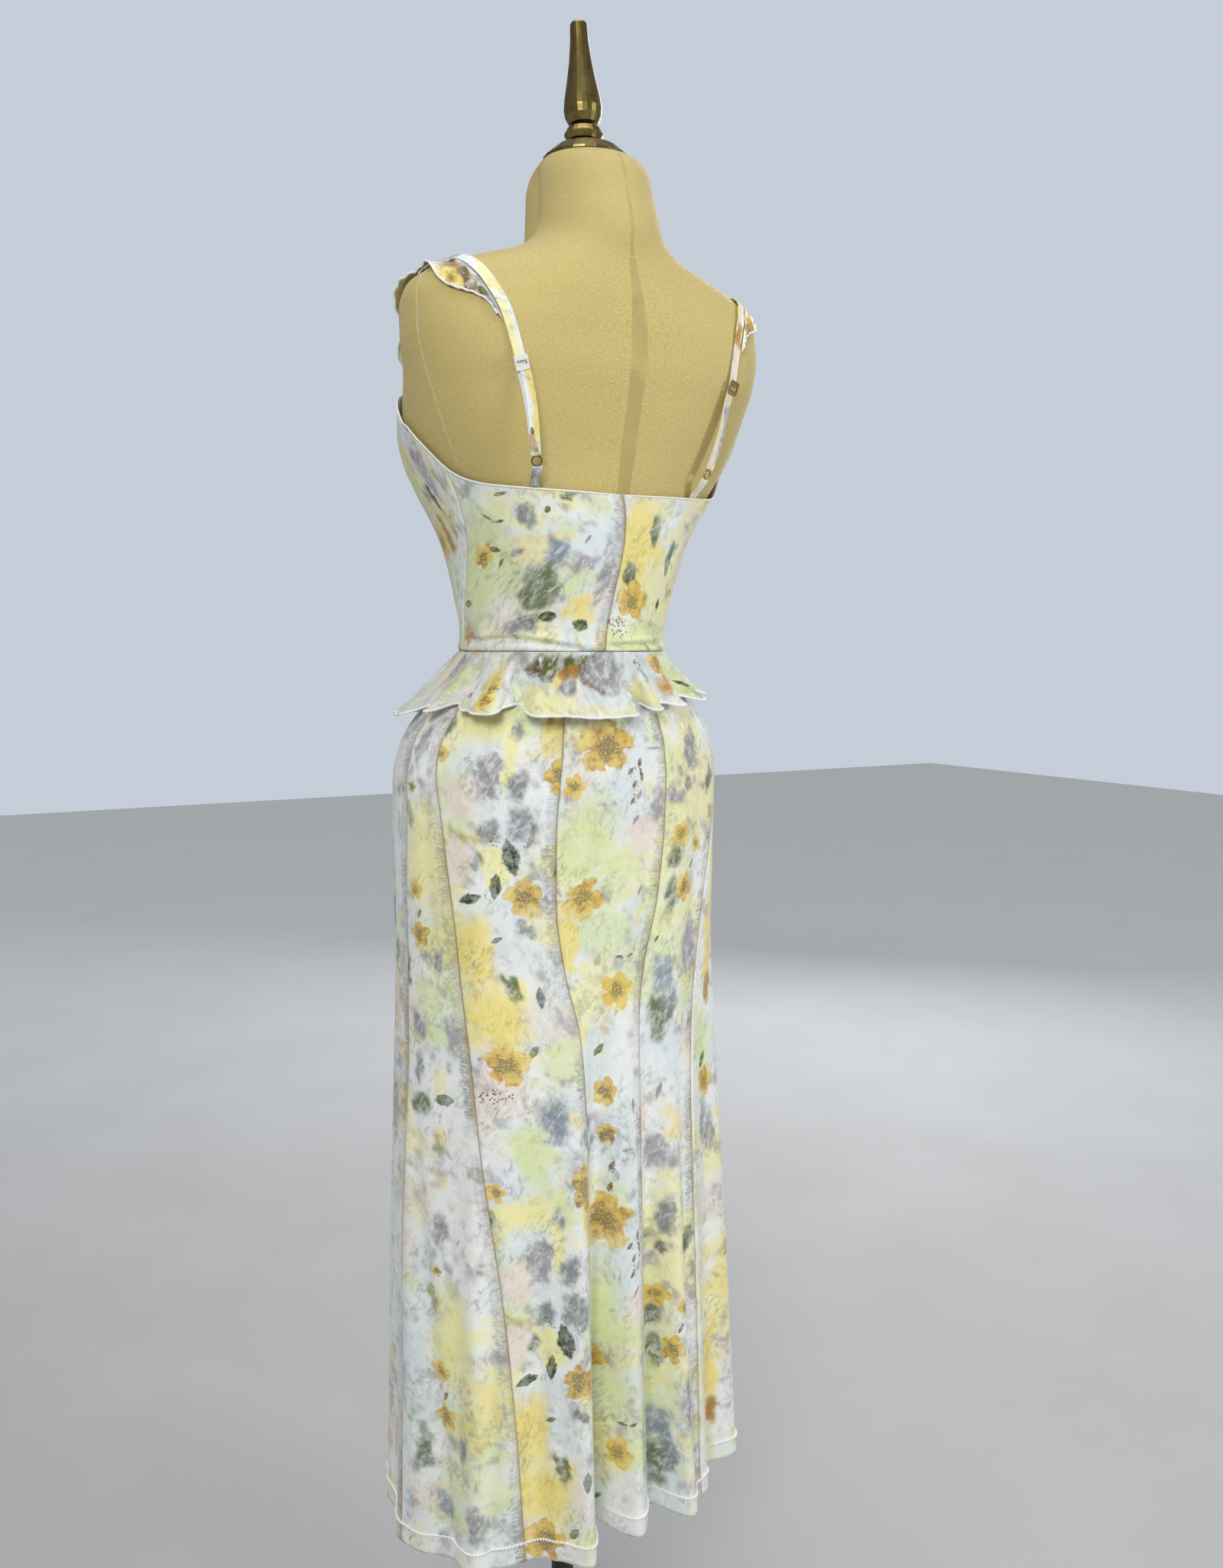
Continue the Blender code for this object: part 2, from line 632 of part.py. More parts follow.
def along_strap(side, distances, lift=STRAP_LIFT):
    """Points, directions and outward normals of the strap's middle line at distances along it."""
    angles, heights, bridge = strap_line(side)
    key = np.arange(len(angles), dtype=float)
    fine = np.linspace(0, len(angles) - 1, 260)
    angles, heights, bridge = (smooth(fine, key, values) for values in (angles, heights, bridge))
    normals = outward(form_face, angles, heights)
    points = form_face(angles, heights) + (lift + bridge)[:, None] * normals
    lengths = np.concatenate([[0], np.cumsum(np.linalg.norm(np.diff(points, axis=0), axis=1))])
    total = lengths[-1]
    distances = np.minimum(distances, total)
    found = np.stack([np.interp(distances, lengths, points[:, k]) for k in range(3)], 1)
    facing = np.stack([np.interp(distances, lengths, normals[:, k]) for k in range(3)], 1)
    facing = facing / np.linalg.norm(facing, axis=1, keepdims=True)
    ahead = np.gradient(found, axis=0)
    ahead = ahead / np.linalg.norm(ahead, axis=1, keepdims=True)
    return found, ahead, facing, total


def strip(name, side, begin, end, count, finish, thickness, lift):
    """A flat band along the strap's line, its outer face lift + thickness off the form."""
    points, ahead, facing, _ = along_strap(side, np.linspace(begin, end, count), lift + thickness)
    aside = np.cross(facing, ahead)
    half = STRAP_WIDTH / 2
    grid = np.stack([points - half * aside, points + half * aside], 0)
    return cloth_wall(name, grid, finish, thickness)


def build_straps(finish, metal):
    """Straps, tabs, rings, sliders and flutter ruffles, on both sides."""
    for side, word in ((1, "left"), (-1, "right")):
        _, _, _, total = along_strap(side, np.array([0.0, 0.1]))
        ring_half = RING_RADIUS + RING_WIRE + 2 * SEAM_GAP
        strip(f"strap_tab_{word}", side, 0.0, RING_PLACE - ring_half, 3, finish, STRAP_DOUBLE, STRAP_LIFT)
        strip(f"strap_lower_{word}", side, RING_PLACE + ring_half, SLIDER_PLACE - SEAM_GAP / 2, 7,
              finish, STRAP_DOUBLE, STRAP_LIFT)
        strip(f"strap_upper_{word}", side, SLIDER_PLACE + SEAM_GAP / 2, total, 26, finish,
              CLOTH, STRAP_LIFT)
        build_ring(f"ring_{word}", side, metal)
        build_slider(f"slider_{word}", side, metal)
        build_ruffle(f"shoulder_ruffle_{word}", side, total, finish)


def placed_on_strap(made, side, distance, lift):
    """Turns an object flat onto the strap's line: its Z outward, its Y along the strap."""
    spread = np.array([distance - 0.002, distance, distance + 0.002])
    points, ahead, facing, _ = along_strap(side, spread, lift)
    aside = np.cross(ahead[1], facing[1])
    aside = aside / np.linalg.norm(aside)
    along = np.cross(facing[1], aside)
    place = lifted(points[1])
    frame = np.eye(4)
    frame[:3, 0], frame[:3, 1], frame[:3, 2], frame[:3, 3] = aside, along, facing[1], place
    made.matrix_world = Matrix(frame.tolist())


def build_ring(name, side, metal):
    """The closed wire ring between the tab and the doubled strap."""
    bpy.ops.mesh.primitive_torus_add(major_radius=RING_RADIUS, minor_radius=RING_WIRE,
                                     major_segments=16, minor_segments=5)
    made = bpy.context.object
    adopt(made, name, metal)
    placed_on_strap(made, side, RING_PLACE, STRAP_LIFT + STRAP_DOUBLE / 2)


def build_slider(name, side, metal):
    """The figure-of-eight slider: a plate with two slots, lying on the strap."""
    bpy.ops.mesh.primitive_cube_add(size=1)
    made = bpy.context.object
    adopt(made, name, metal)
    made.data.transform(scaled(SLIDER_WIDTH, SLIDER_HEIGHT, SLIDER_THICKNESS))
    tall = (SLIDER_HEIGHT - 3 * SLIDER_BAR) / 2
    for k, shift in enumerate((-1, 1)):
        bpy.ops.mesh.primitive_cube_add(size=1)
        slot = bpy.context.object
        adopt(slot, f"{name}_slot_{k}", metal, CUTTERS)
        slot.data.transform(scaled(SLIDER_WIDTH - 2 * SLIDER_BAR, tall, 4 * SLIDER_THICKNESS))
        slot.data.transform(moved(0, shift * (tall + SLIDER_BAR) / 2, 0))
        slot.hide_render = True
        slot.display_type = "WIRE"
        slot.parent = made
        cut = made.modifiers.new(f"Slot {k}", "BOOLEAN")
        cut.object = slot
    lift = STRAP_LIFT + STRAP_DOUBLE + 2.1 * SEAM_GAP + SLIDER_THICKNESS / 2
    placed_on_strap(made, side, SLIDER_PLACE, lift)


def scaled(x, y, z):
    """A 4 x 4 matrix that scales along the axes."""
    return [[x, 0, 0, 0], [0, y, 0, 0], [0, 0, z, 0], [0, 0, 0, 1]]


def moved(x, y, z):
    """A 4 x 4 matrix that shifts."""
    return [[1, 0, 0, x], [0, 1, 0, y], [0, 0, 1, z], [0, 0, 0, 1]]


def adopt(made, name, finish, collection=None):
    """Names a primitive, gives it its finish and moves it to a collection."""
    made.name = name
    made.data.name = name
    made.data.materials.clear()
    made.data.materials.append(finish)
    made.data.shade_smooth()
    made.data.set_sharp_from_angle(angle=0.6)
    for held in list(made.users_collection):
        held.objects.unlink(made)
    (collection or MODEL).objects.link(made)


def build_ruffle(name, side, total, finish):
    """The flutter ruffle: from the strap's outer edge to its own outer edge, in soft waves."""
    count, rows = 26, 3
    share = np.linspace(0, 1, count)
    distances = RUFFLE_FROM + (total - RUFFLE_SHORT - RUFFLE_FROM) * share
    points, ahead, facing, _ = along_strap(side, distances, STRAP_LIFT + CLOTH)
    aside = np.cross(facing, ahead) * side
    inner = points + (STRAP_WIDTH / 2 + 3.5 * SEAM_GAP) * aside
    outer = np.stack([read(RUFFLE_EDGE, RUFFLE_ROWS, key, share) for key in RUFFLE_EDGE[1:]], 1)
    outer[:, 0] *= side
    over = np.cross(ahead, outer - inner) * side
    over = over / np.linalg.norm(over, axis=1, keepdims=True)
    wave = RUFFLE_WAVE * np.sin(2 * np.pi * RUFFLE_WAVES * share)
    wave = wave * step(share, 0.3, 0.7) * step(1 - share, 0, 0.1)
    v = np.linspace(0, 1, rows)[:, None, None]
    sway = v * (1 - v) * RUFFLE_PUFF + v**2 * wave[None, :, None]
    grid = inner[None] + v * (outer - inner)[None] + sway * over[None]
    return cloth_wall(name, grid if side > 0 else grid[::-1], finish)


def raised(profile, foot):
    """A turned outline, moved up so that it stands at a height."""
    return [(radius, height + foot) for radius, height in profile]


def build_torso(cover):
    """The torso with its neck, closed by a flat face below and a small one above."""
    heights = column(SECTION, FORM_ROWS, "height")
    neck_heights = column(LOBES, NECK_ROWS, "height")
    change = NECK_FULL - 0.01
    heights = np.concatenate([heights[heights < change], neck_heights[neck_heights > change],
                              MORE_RINGS])
    heights = np.sort(heights)
    angle = np.arange(FORM_SIDES)[:, None] * 360 / FORM_SIDES
    grid = lifted(form_face(angle, heights[None, :] + 0 * angle))
    rows = len(heights)
    faces = [list(face) for face in grid_faces(FORM_SIDES, rows, closed=True)]
    faces.append([i * rows for i in range(FORM_SIDES)])
    faces.append([i * rows + rows - 1 for i in range(FORM_SIDES)][::-1])
    mesh_object("form_torso", grid.reshape(-1, 3), faces, cover)


def build_form(cover, brass, steel):
    """The torso, the cap, collar and finial on its neck, and the pole and base under it."""
    build_torso(cover)
    foot = WAIST_HEIGHT + NECK_TOP + SEAM_GAP
    turned("form_neck_cap", raised(CAP, foot), (0, NECK_CENTRE_Y, 0), brass)
    foot = foot + CAP[0][1] + SEAM_GAP
    turned("form_collar_ring", raised(COLLAR, foot), (FINIAL_ASIDE, NECK_CENTRE_Y, 0), brass)
    foot = foot + COLLAR[0][1] + 2 * SEAM_GAP
    finial = turned("form_finial", FINIAL, (0, 0, 0), brass)
    lean = Matrix.Rotation(np.radians(FINIAL_LEAN), 4, FINIAL_LEAN_AXIS)
    finial.matrix_world = Matrix.Translation((FINIAL_ASIDE, NECK_CENTRE_Y, foot)) @ lean
    under = WAIST_HEIGHT + FORM_BOTTOM - SEAM_GAP
    over = BASE_TOP + SEAM_GAP
    pole = ((0, under), (POLE_RADIUS, under), (POLE_RADIUS, over), (0, over))
    turned("form_pole", pole, (0, 0, 0), steel, 16)
    base = ((0, BASE_TOP), (0.017, BASE_TOP), (0.020, BASE_TOP - 0.003), (0.022, 0.022),
            (0.030, 0.015), (BASE_RADIUS - 0.010, BASE_RIM), (BASE_RADIUS - 0.002, BASE_RIM - 0.003),
            (BASE_RADIUS, BASE_RIM - 0.006), (BASE_RADIUS, 0), (0, 0))
    turned("form_base", base, (0, 0, 0), steel, 32)


for old in list(bpy.data.objects):
    bpy.data.objects.remove(old, do_unlink=True)
MODEL = bpy.data.collections.new("floral_dress_on_form")
CUTTERS = bpy.data.collections.new("cutters")
bpy.context.scene.collection.children.link(MODEL)
bpy.context.scene.collection.children.link(CUTTERS)

print_cloth = material("Printed mesh cloth", (0.86, 0.84, 0.68), 0.75)
form_cover = material("Woven form cover", (0.50, 0.43, 0.19), 0.85)
aged_brass = material("Aged brass", (0.35, 0.26, 0.09), 0.38, 0.9)
white_metal = material("White coated metal", (0.85, 0.85, 0.83), 0.4)
dark_steel = material("Powder-coated steel", (0.05, 0.05, 0.05), 0.5, 0.6)

build_form(form_cover, aged_brass, dark_steel)
build_skirt(print_cloth)
build_bodice(print_cloth)
build_peplum(print_cloth)
build_straps(print_cloth, white_metal)
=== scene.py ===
"""Floral dress with a waist ruffle and ruffled straps, on its limbless dress form.

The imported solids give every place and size. Here each piece of cloth becomes a thin sheet on its
own solid's form, with its creases, its print, its rolled edges and its sewing, and the form, the
brass and the hardware get their finishes.

Metres, +Z up. The front faces -Y, the wearer's left is +X, and angles run round the body from the
centre back towards the wearer's left. Heights are above the waist seam.
"""

import bmesh
import bpy
import numpy as np
from mathutils import Matrix


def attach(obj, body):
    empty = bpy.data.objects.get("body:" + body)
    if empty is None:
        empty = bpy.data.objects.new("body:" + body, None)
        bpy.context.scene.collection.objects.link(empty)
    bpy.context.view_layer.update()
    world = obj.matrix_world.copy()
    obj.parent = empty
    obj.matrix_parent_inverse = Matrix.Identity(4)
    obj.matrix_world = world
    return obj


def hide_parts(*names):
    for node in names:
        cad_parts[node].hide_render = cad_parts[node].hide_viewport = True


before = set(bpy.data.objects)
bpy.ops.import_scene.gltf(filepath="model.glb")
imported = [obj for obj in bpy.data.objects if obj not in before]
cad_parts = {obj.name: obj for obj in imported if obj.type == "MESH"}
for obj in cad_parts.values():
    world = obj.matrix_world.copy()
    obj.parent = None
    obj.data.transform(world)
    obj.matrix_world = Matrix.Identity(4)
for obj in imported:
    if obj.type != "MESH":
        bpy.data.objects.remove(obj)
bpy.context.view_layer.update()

# ---------------------------------------------------------------- sizes shared with the solids
WAIST_HEIGHT = 1.20
SKIRT_LENGTH = 0.92
CLOTH = 0.0012
EASE = 0.0050
STEEPEST = 0.6
SEAM_GAP = 0.0003
STRAP_WIDTH = 0.0105
STRAP_LIFT = 0.0022
STRAP_DOUBLE = 2 * CLOTH
STRAP_SAMPLES = 260
RING_RADIUS = 0.0046
RING_WIRE = 0.0007
RING_PLACE, SLIDER_PLACE = 0.0285, 0.1165
NECK_TOP = 0.478

# The cloth seen here is thinner than the solids' walls, and keeps their outer side
THIN = 0.0006


SECTION = ("height", "width", "mid", "back", "front", "back_square", "front_square")
FORM_ROWS = (
    (-0.300, 0.1580, -0.005, 0.1040, -0.1180, 2.2, 2.2),
    (-0.240, 0.1720, -0.004, 0.1080, -0.1270, 2.2, 2.2),
    (-0.170, 0.1760, -0.002, 0.1125, -0.1275, 2.2, 2.2),
    (-0.110, 0.1725, 0.001, 0.1130, -0.1200, 2.2, 2.2),
    (-0.060, 0.1470, 0.003, 0.1075, -0.0990, 2.2, 2.2),
    (-0.025, 0.1190, 0.004, 0.1010, -0.0860, 2.2, 2.1),
    (0.000, 0.1035, 0.005, 0.0995, -0.0810, 2.2, 2.1),
    (0.030, 0.1050, 0.006, 0.1010, -0.0810, 2.3, 2.1),
    (0.060, 0.1090, 0.007, 0.1080, -0.0860, 2.4, 2.2),
    (0.085, 0.1140, 0.008, 0.1155, -0.0930, 2.5, 2.2),
    (0.110, 0.1210, 0.009, 0.1215, -0.1000, 2.6, 2.2),
    (0.135, 0.1320, 0.010, 0.1270, -0.1070, 2.7, 2.2),
    (0.160, 0.1465, 0.012, 0.1330, -0.1130, 2.8, 2.2),
    (0.185, 0.1605, 0.016, 0.1400, -0.1145, 2.8, 2.2),
    (0.210, 0.1725, 0.024, 0.1475, -0.1080, 2.7, 2.1),
    (0.240, 0.1800, 0.036, 0.1550, -0.0900, 2.7, 1.85),
    (0.270, 0.1850, 0.047, 0.1610, -0.0700, 2.8, 1.65),
    (0.300, 0.1890, 0.053, 0.1620, -0.0540, 2.7, 1.85),
    (0.325, 0.1890, 0.056, 0.1590, -0.0420, 2.5, 2.1),
    (0.342, 0.1840, 0.058, 0.1560, -0.0340, 2.3, 2.1),
    (0.355, 0.1680, 0.060, 0.1540, -0.0290, 2.2, 2.1),
    (0.366, 0.1400, 0.061, 0.1530, -0.0250, 2.1, 2.1),
    (0.378, 0.1080, 0.062, 0.1525, -0.0220, 2.0, 2.0),
    (0.392, 0.0820, 0.062, 0.1520, -0.0200, 2.0, 2.0),
    (0.410, 0.0680, 0.062, 0.1500, -0.0190, 2.0, 2.0),
    (0.478, 0.0600, 0.062, 0.1300, -0.0150, 2.0, 2.0),
)
NECK_FROM, NECK_FULL = 0.365, 0.415
LOBES = ("height", "nape", "nape_y", "throat", "throat_y")
NECK_ROWS = (
    (0.365, 0.0720, 0.0900, 0.0560, 0.0300),
    (0.390, 0.0650, 0.0930, 0.0500, 0.0300),
    (0.410, 0.0600, 0.0920, 0.0470, 0.0310),
    (0.430, 0.0570, 0.0880, 0.0460, 0.0315),
    (0.455, 0.0542, 0.0836, 0.0455, 0.0322),
    (0.467, 0.0515, 0.0790, 0.0450, 0.0380),
    (0.474, 0.0480, 0.0735, 0.0445, 0.0500),
    (0.478, 0.0425, 0.0666, 0.0425, 0.0660),
)
LOBE_BLEND = 24
SKIRT_ROWS = (
    (0.000, 0.1085, 0.005, 0.1045, -0.0860, 2.2, 2.1),
    (-0.025, 0.1240, 0.004, 0.1060, -0.0910, 2.2, 2.1),
    (-0.060, 0.1520, 0.003, 0.1125, -0.1040, 2.2, 2.2),
    (-0.097, 0.1740, 0.002, 0.1180, -0.1220, 2.2, 2.2),
    (-0.132, 0.1805, 0.000, 0.1190, -0.1300, 2.2, 2.2),
    (-0.220, 0.1810, -0.003, 0.1160, -0.1345, 2.2, 2.2),
    (-0.300, 0.1800, -0.004, 0.1160, -0.1350, 2.2, 2.2),
    (-0.400, 0.1815, -0.004, 0.1210, -0.1370, 2.2, 2.2),
    (-0.515, 0.1860, -0.004, 0.1280, -0.1400, 2.2, 2.2),
    (-0.640, 0.1910, -0.004, 0.1330, -0.1440, 2.2, 2.2),
    (-0.780, 0.1955, -0.003, 0.1385, -0.1490, 2.2, 2.2),
    (-0.920, 0.2000, -0.003, 0.1440, -0.1540, 2.2, 2.2),
)
FLUTE = ("angle", "out")
FLUTES_FROM = -0.28
FLUTE_GROWTH = 1.1
SKIRT_FLUTES = (
    (-180, 0.022), (-166, -0.018), (-152, 0.020), (-138, -0.014), (-124, 0.010), (-106, -0.010),
    (-90, 0.004), (-74, -0.014), (-58, 0.012), (-44, -0.018), (-31, 0.006), (-19.5, 0.022),
    (-12, -0.018), (-2.6, 0.014), (4.6, -0.026), (12, 0.032), (20, 0.014), (28, 0.006),
    (44, 0.022), (60, 0.008), (76, 0.014), (92, -0.004), (106, 0.002), (121, -0.016),
    (136, 0.010), (151, -0.016), (166, 0.016), (180, 0.022),
)
SKIRT_SEAMS = ("height", "side_left", "outer_left", "inner_left", "inner_right", "outer_right",
               "side_right", "front_outer_right", "front_inner_right", "front_inner_left",
               "front_outer_left")
SEAM_ROWS = (
    (0.000, 88, 66, 19, -21, -63, -88, -116, -159, 159, 116),
    (-0.100, 84, 65, 15.5, -20, -60, -86, -116, -160, 160, 116),
    (-0.180, 83, 60, 17, -19.5, -55, -86, -120, -161, 161, 120),
    (-0.250, 84, 56, 17, -17, -47, -86, -124, -162, 162, 124),
    (-0.320, 84, 53, 14.5, -12, -41, -86, -128, -165, 165, 128),
    (-0.400, 83, 49, 9.6, -9, -35, -85, -132, -168, 168, 132),
    (-0.500, 82, 44.5, 8.2, -8.8, -31, -85, -136, -170, 170, 136),
    (-0.640, 80, 37, 8.6, -8.6, -30, -85, -142, -171, 171, 142),
    (-0.780, 78, 32.5, 9.0, -7.2, -29.2, -85, -146, -171, 171, 146),
    (-0.920, 76, 29.5, 9.4, -5.8, -28.2, -85, -149, -171, 171, 149),
)
TOP_EDGE = ("angle", "height")
TOP_EDGE_ROWS = (
    (0, 0.1510), (30, 0.1535), (50, 0.1570), (62, 0.1630), (70, 0.1720), (76, 0.1850),
    (84, 0.2050), (95, 0.2300), (108, 0.2480), (122, 0.2560), (129, 0.2560), (138, 0.2300),
    (150, 0.1900), (165, 0.1520), (180, 0.1300),
)
BODICE_SEAMS = ("height", "left", "right", "centre")
BODICE_SEAM_ROWS = (
    (0.000, 94, -84, 0.0),
    (0.030, 92, -76, -1.0),
    (0.060, 87, -66, -2.0),
    (0.100, 79, -53, -2.5),
    (0.130, 74, -50, -1.5),
    (0.160, 72, -48, 0.0),
    (0.200, 72, -48, 0.0),
)
WAVE_HEIGHT = 0.009
PEPLUM_STANDOFF = 0.0105
PEPLUM_LIFT = 0.009
PEPLUM_FLARE = 1.2
GATHER = 0.0008
PEPLUM_HEM = ("angle", "drop")
PEPLUM_HEM_ROWS = (
    (-180, 0.064), (-130, 0.060), (-95, 0.050), (-75, 0.046), (-64, 0.047), (-45, 0.052),
    (-33, 0.055), (-18, 0.058), (0, 0.0645), (20, 0.063), (48, 0.059), (70, 0.059), (94, 0.063),
    (130, 0.064), (180, 0.064),
)
PEPLUM_WAVES = (
    (-180, 1.0), (-169, -0.8), (-158, 0.9), (-147, -0.9), (-136, 1.0), (-125, -0.8),
    (-114, 0.9), (-103, -0.9), (-92, 0.9), (-82, -0.7), (-71, 0.9), (-58, -0.8), (-47, 0.7),
    (-37, -0.9), (-28, 0.7), (-21, -0.2), (-15, 0.8), (-10, -1.0), (-3, 0.7), (6, 1.0),
    (18, 0.7), (28, 0.9), (37, -0.9), (48, 1.0), (57, 0.5), (66, -0.9), (75, 0.7), (84, -0.7),
    (94, 1.0), (104, -0.9), (115, 0.9), (126, -0.8), (137, 1.0), (148, -0.9), (159, 0.9),
    (170, -0.8), (180, 1.0),
)
STRAP_LINE = ("height", "left", "right", "bridge", "side")
STRAP_ROWS = (
    (0.1552, 0.0855, 0.0872, 0.0010, 1),
    (0.1800, 0.0885, 0.0920, 0.0105, 1),
    (0.2150, 0.0970, 0.1030, 0.0085, 1),
    (0.2600, 0.1110, 0.1145, 0.0025, 1),
    (0.2950, 0.1215, 0.1225, 0.0000, 1),
    (0.3250, 0.1330, 0.1330, 0.0000, 1),
    (0.3450, 0.1430, 0.1430, 0.0000, 1),
    (0.3560, 0.1500, 0.1500, 0.0000, 1),
    (0.3590, 0.1545, 0.1545, 0.0000, 1),
    (0.3560, 0.1580, 0.1580, 0.0000, -1),
    (0.3450, 0.1600, 0.1600, 0.0000, -1),
    (0.3250, 0.1590, 0.1590, 0.0000, -1),
    (0.2950, 0.1550, 0.1550, 0.0010, -1),
    (0.2580, 0.1480, 0.1480, 0.0030, -1),
)
RUFFLE_EDGE = ("share", "x", "y", "height")
RUFFLE_ROWS = (
    (0.00, 0.1340, 0.1478, 0.3010),
    (0.08, 0.1400, 0.1425, 0.3125),
    (0.15, 0.1512, 0.1344, 0.3205),
    (0.22, 0.1600, 0.1279, 0.3240),
    (0.29, 0.1681, 0.1194, 0.3285),
    (0.36, 0.1735, 0.1080, 0.3370),
    (0.43, 0.1755, 0.0950, 0.3500),
    (0.49, 0.1765, 0.0820, 0.3590),
    (0.56, 0.1800, 0.0640, 0.3540),
    (0.63, 0.1850, 0.0460, 0.3450),
    (0.70, 0.1840, 0.0280, 0.3330),
    (0.78, 0.1780, 0.0100, 0.3150),
    (0.87, 0.1720, -0.0070, 0.2930),
    (0.95, 0.1635, -0.0200, 0.2760),
    (1.00, 0.1600, -0.0260, 0.2660),
)
RUFFLE_SHORT = 0.002
RUFFLE_WAVE = 0.005
RUFFLE_WAVES = 3.4
RUFFLE_PUFF = 0.006
RUFFLE_FROM = 0.155

# ---------------------------------------------------------------- creases, listed one by one
# Each runs as a soft trough (out below 0) or ridge from one angle and height to another.
# Columns: from angle, from height, to angle, to height, half width, out
SKIRT_CREASES = (
    (72, -0.070, 66, -0.330, 0.010, -0.0020),
    (50, -0.080, 43, -0.420, 0.014, 0.0022),
    (36, -0.090, 30, -0.300, 0.009, -0.0018),
    (27, -0.200, 20, -0.560, 0.012, -0.0022),
    (9, -0.100, 3, -0.360, 0.010, -0.0022),
    (-2, -0.090, -4, -0.330, 0.012, 0.0018),
    (-13, -0.120, -10, -0.420, 0.008, -0.0020),
    (-30, -0.090, -24, -0.380, 0.010, 0.0018),
    (-42, -0.110, -30, -0.480, 0.009, -0.0020),
    (-58, -0.080, -46, -0.400, 0.011, 0.0018),
    (-74, -0.090, -68, -0.500, 0.012, -0.0020),
    (78, -0.420, 48, -1.060, 0.009, -0.0055),
    (84, -0.440, 60, -1.060, 0.012, 0.0040),
    (48, -0.500, 44, -1.150, 0.010, 0.0040),
    (41, -0.480, 39, -1.150, 0.007, -0.0050),
    (24, -0.520, 24, -1.150, 0.010, -0.0060),
    (4.2, -0.400, 5.6, -1.200, 0.006, -0.0070),
    (-11.5, -0.420, -12.5, -1.200, 0.006, -0.0060),
    (-25, -0.420, -25, -1.200, 0.007, -0.0060),
    (-37, -0.420, -38, -1.150, 0.008, -0.0050),
    (-74, -0.500, -76, -1.150, 0.010, -0.0045),
    (104, -0.460, 106, -1.150, 0.010, -0.0055),
    (126, -0.480, 122, -1.150, 0.009, -0.0045),
    (150, -0.440, 151, -1.200, 0.008, -0.0060),
    (176, -0.500, 172, -1.150, 0.010, 0.0035),
    (193, -0.460, 195, -1.200, 0.009, -0.0060),
    (222, -0.440, 222, -1.200, 0.008, -0.0060),
    (240, -0.500, 238, -1.150, 0.010, 0.0040),
    (256, -0.480, 258, -1.150, 0.009, -0.0050),
    (56, -0.420, 50, -0.900, 0.012, -0.0024),
    (36, -0.500, 33, -0.915, 0.009, 0.0020),
    (70, -0.450, 67, -0.900, 0.013, 0.0020),
    (-24, -0.500, -23, -0.900, 0.008, -0.0018),
    (-50, -0.450, -52, -0.900, 0.012, 0.0020),
    (-66, -0.520, -66, -0.910, 0.010, -0.0020),
    (100, -0.080, 104, -0.430, 0.012, -0.0020),
    (128, -0.090, 132, -0.500, 0.012, 0.0020),
    (146, -0.110, 144, -0.360, 0.009, -0.0018),
    (171, -0.090, 174, -0.400, 0.011, 0.0018),
    (190, -0.100, 186, -0.460, 0.010, -0.0020),
    (214, -0.120, 217, -0.520, 0.012, 0.0020),
    (236, -0.090, 232, -0.420, 0.010, -0.0020),
    (258, -0.100, 255, -0.480, 0.012, 0.0018),
    (112, -0.480, 113, -0.900, 0.011, 0.0020),
    (158, -0.500, 158, -0.910, 0.010, -0.0020),
    (202, -0.520, 203, -0.900, 0.010, 0.0020),
    (246, -0.500, 247, -0.900, 0.012, -0.0020),
)
BODICE_CREASES = (
    (86, 0.012, 70, 0.060, 0.0050, -0.0016),
    (78, 0.006, 60, 0.034, 0.0040, 0.0014),
    (96, 0.0080, 40, 0.0138, 0.0026, -0.0032),
    (60, 0.0140, 6, 0.0010, 0.0026, -0.0032),
    (84, 0.0150, 44, 0.0188, 0.0036, 0.0034),
    (52, 0.0188, 12, 0.0080, 0.0036, 0.0034),
    (4, 0.0050, -48, 0.0090, 0.0025, -0.0044),
    (0, 0.0100, -44, 0.0140, 0.0034, 0.0028),
    (-24, 0.0125, -60, 0.024, 0.0036, -0.0016),
    (34, 0.012, 28, 0.036, 0.0040, -0.0014),
    (28, 0.010, 24, 0.030, 0.0036, 0.0012),
    (4, 0.010, -1, 0.034, 0.0034, -0.0018),
    (70, 0.120, 50, 0.070, 0.0070, -0.0013),
    (64, 0.145, 40, 0.110, 0.0070, 0.0011),
    (56, 0.060, 34, 0.046, 0.0060, -0.0011),
    (-40, 0.110, -22, 0.074, 0.0065, -0.0012),
    (-30, 0.140, -12, 0.104, 0.0065, 0.0010),
    (-20, 0.050, -4, 0.038, 0.0060, -0.0010),
    (12, 0.140, 16, 0.060, 0.0080, 0.0011),
    (24, 0.130, 30, 0.070, 0.0070, -0.0010),
    (104, 0.020, 128, 0.060, 0.0060, -0.0015),
    (112, 0.190, 136, 0.150, 0.0080, 0.0012),
    (124, 0.014, 160, 0.018, 0.0040, -0.0015),
    (176, 0.015, 214, 0.013, 0.0040, -0.0016),
    (232, 0.020, 254, 0.066, 0.0060, -0.0015),
    (224, 0.150, 246, 0.190, 0.0080, 0.0012),
    (150, 0.080, 176, 0.066, 0.0070, 0.0011),
    (186, 0.064, 208, 0.084, 0.0070, -0.0010),
)

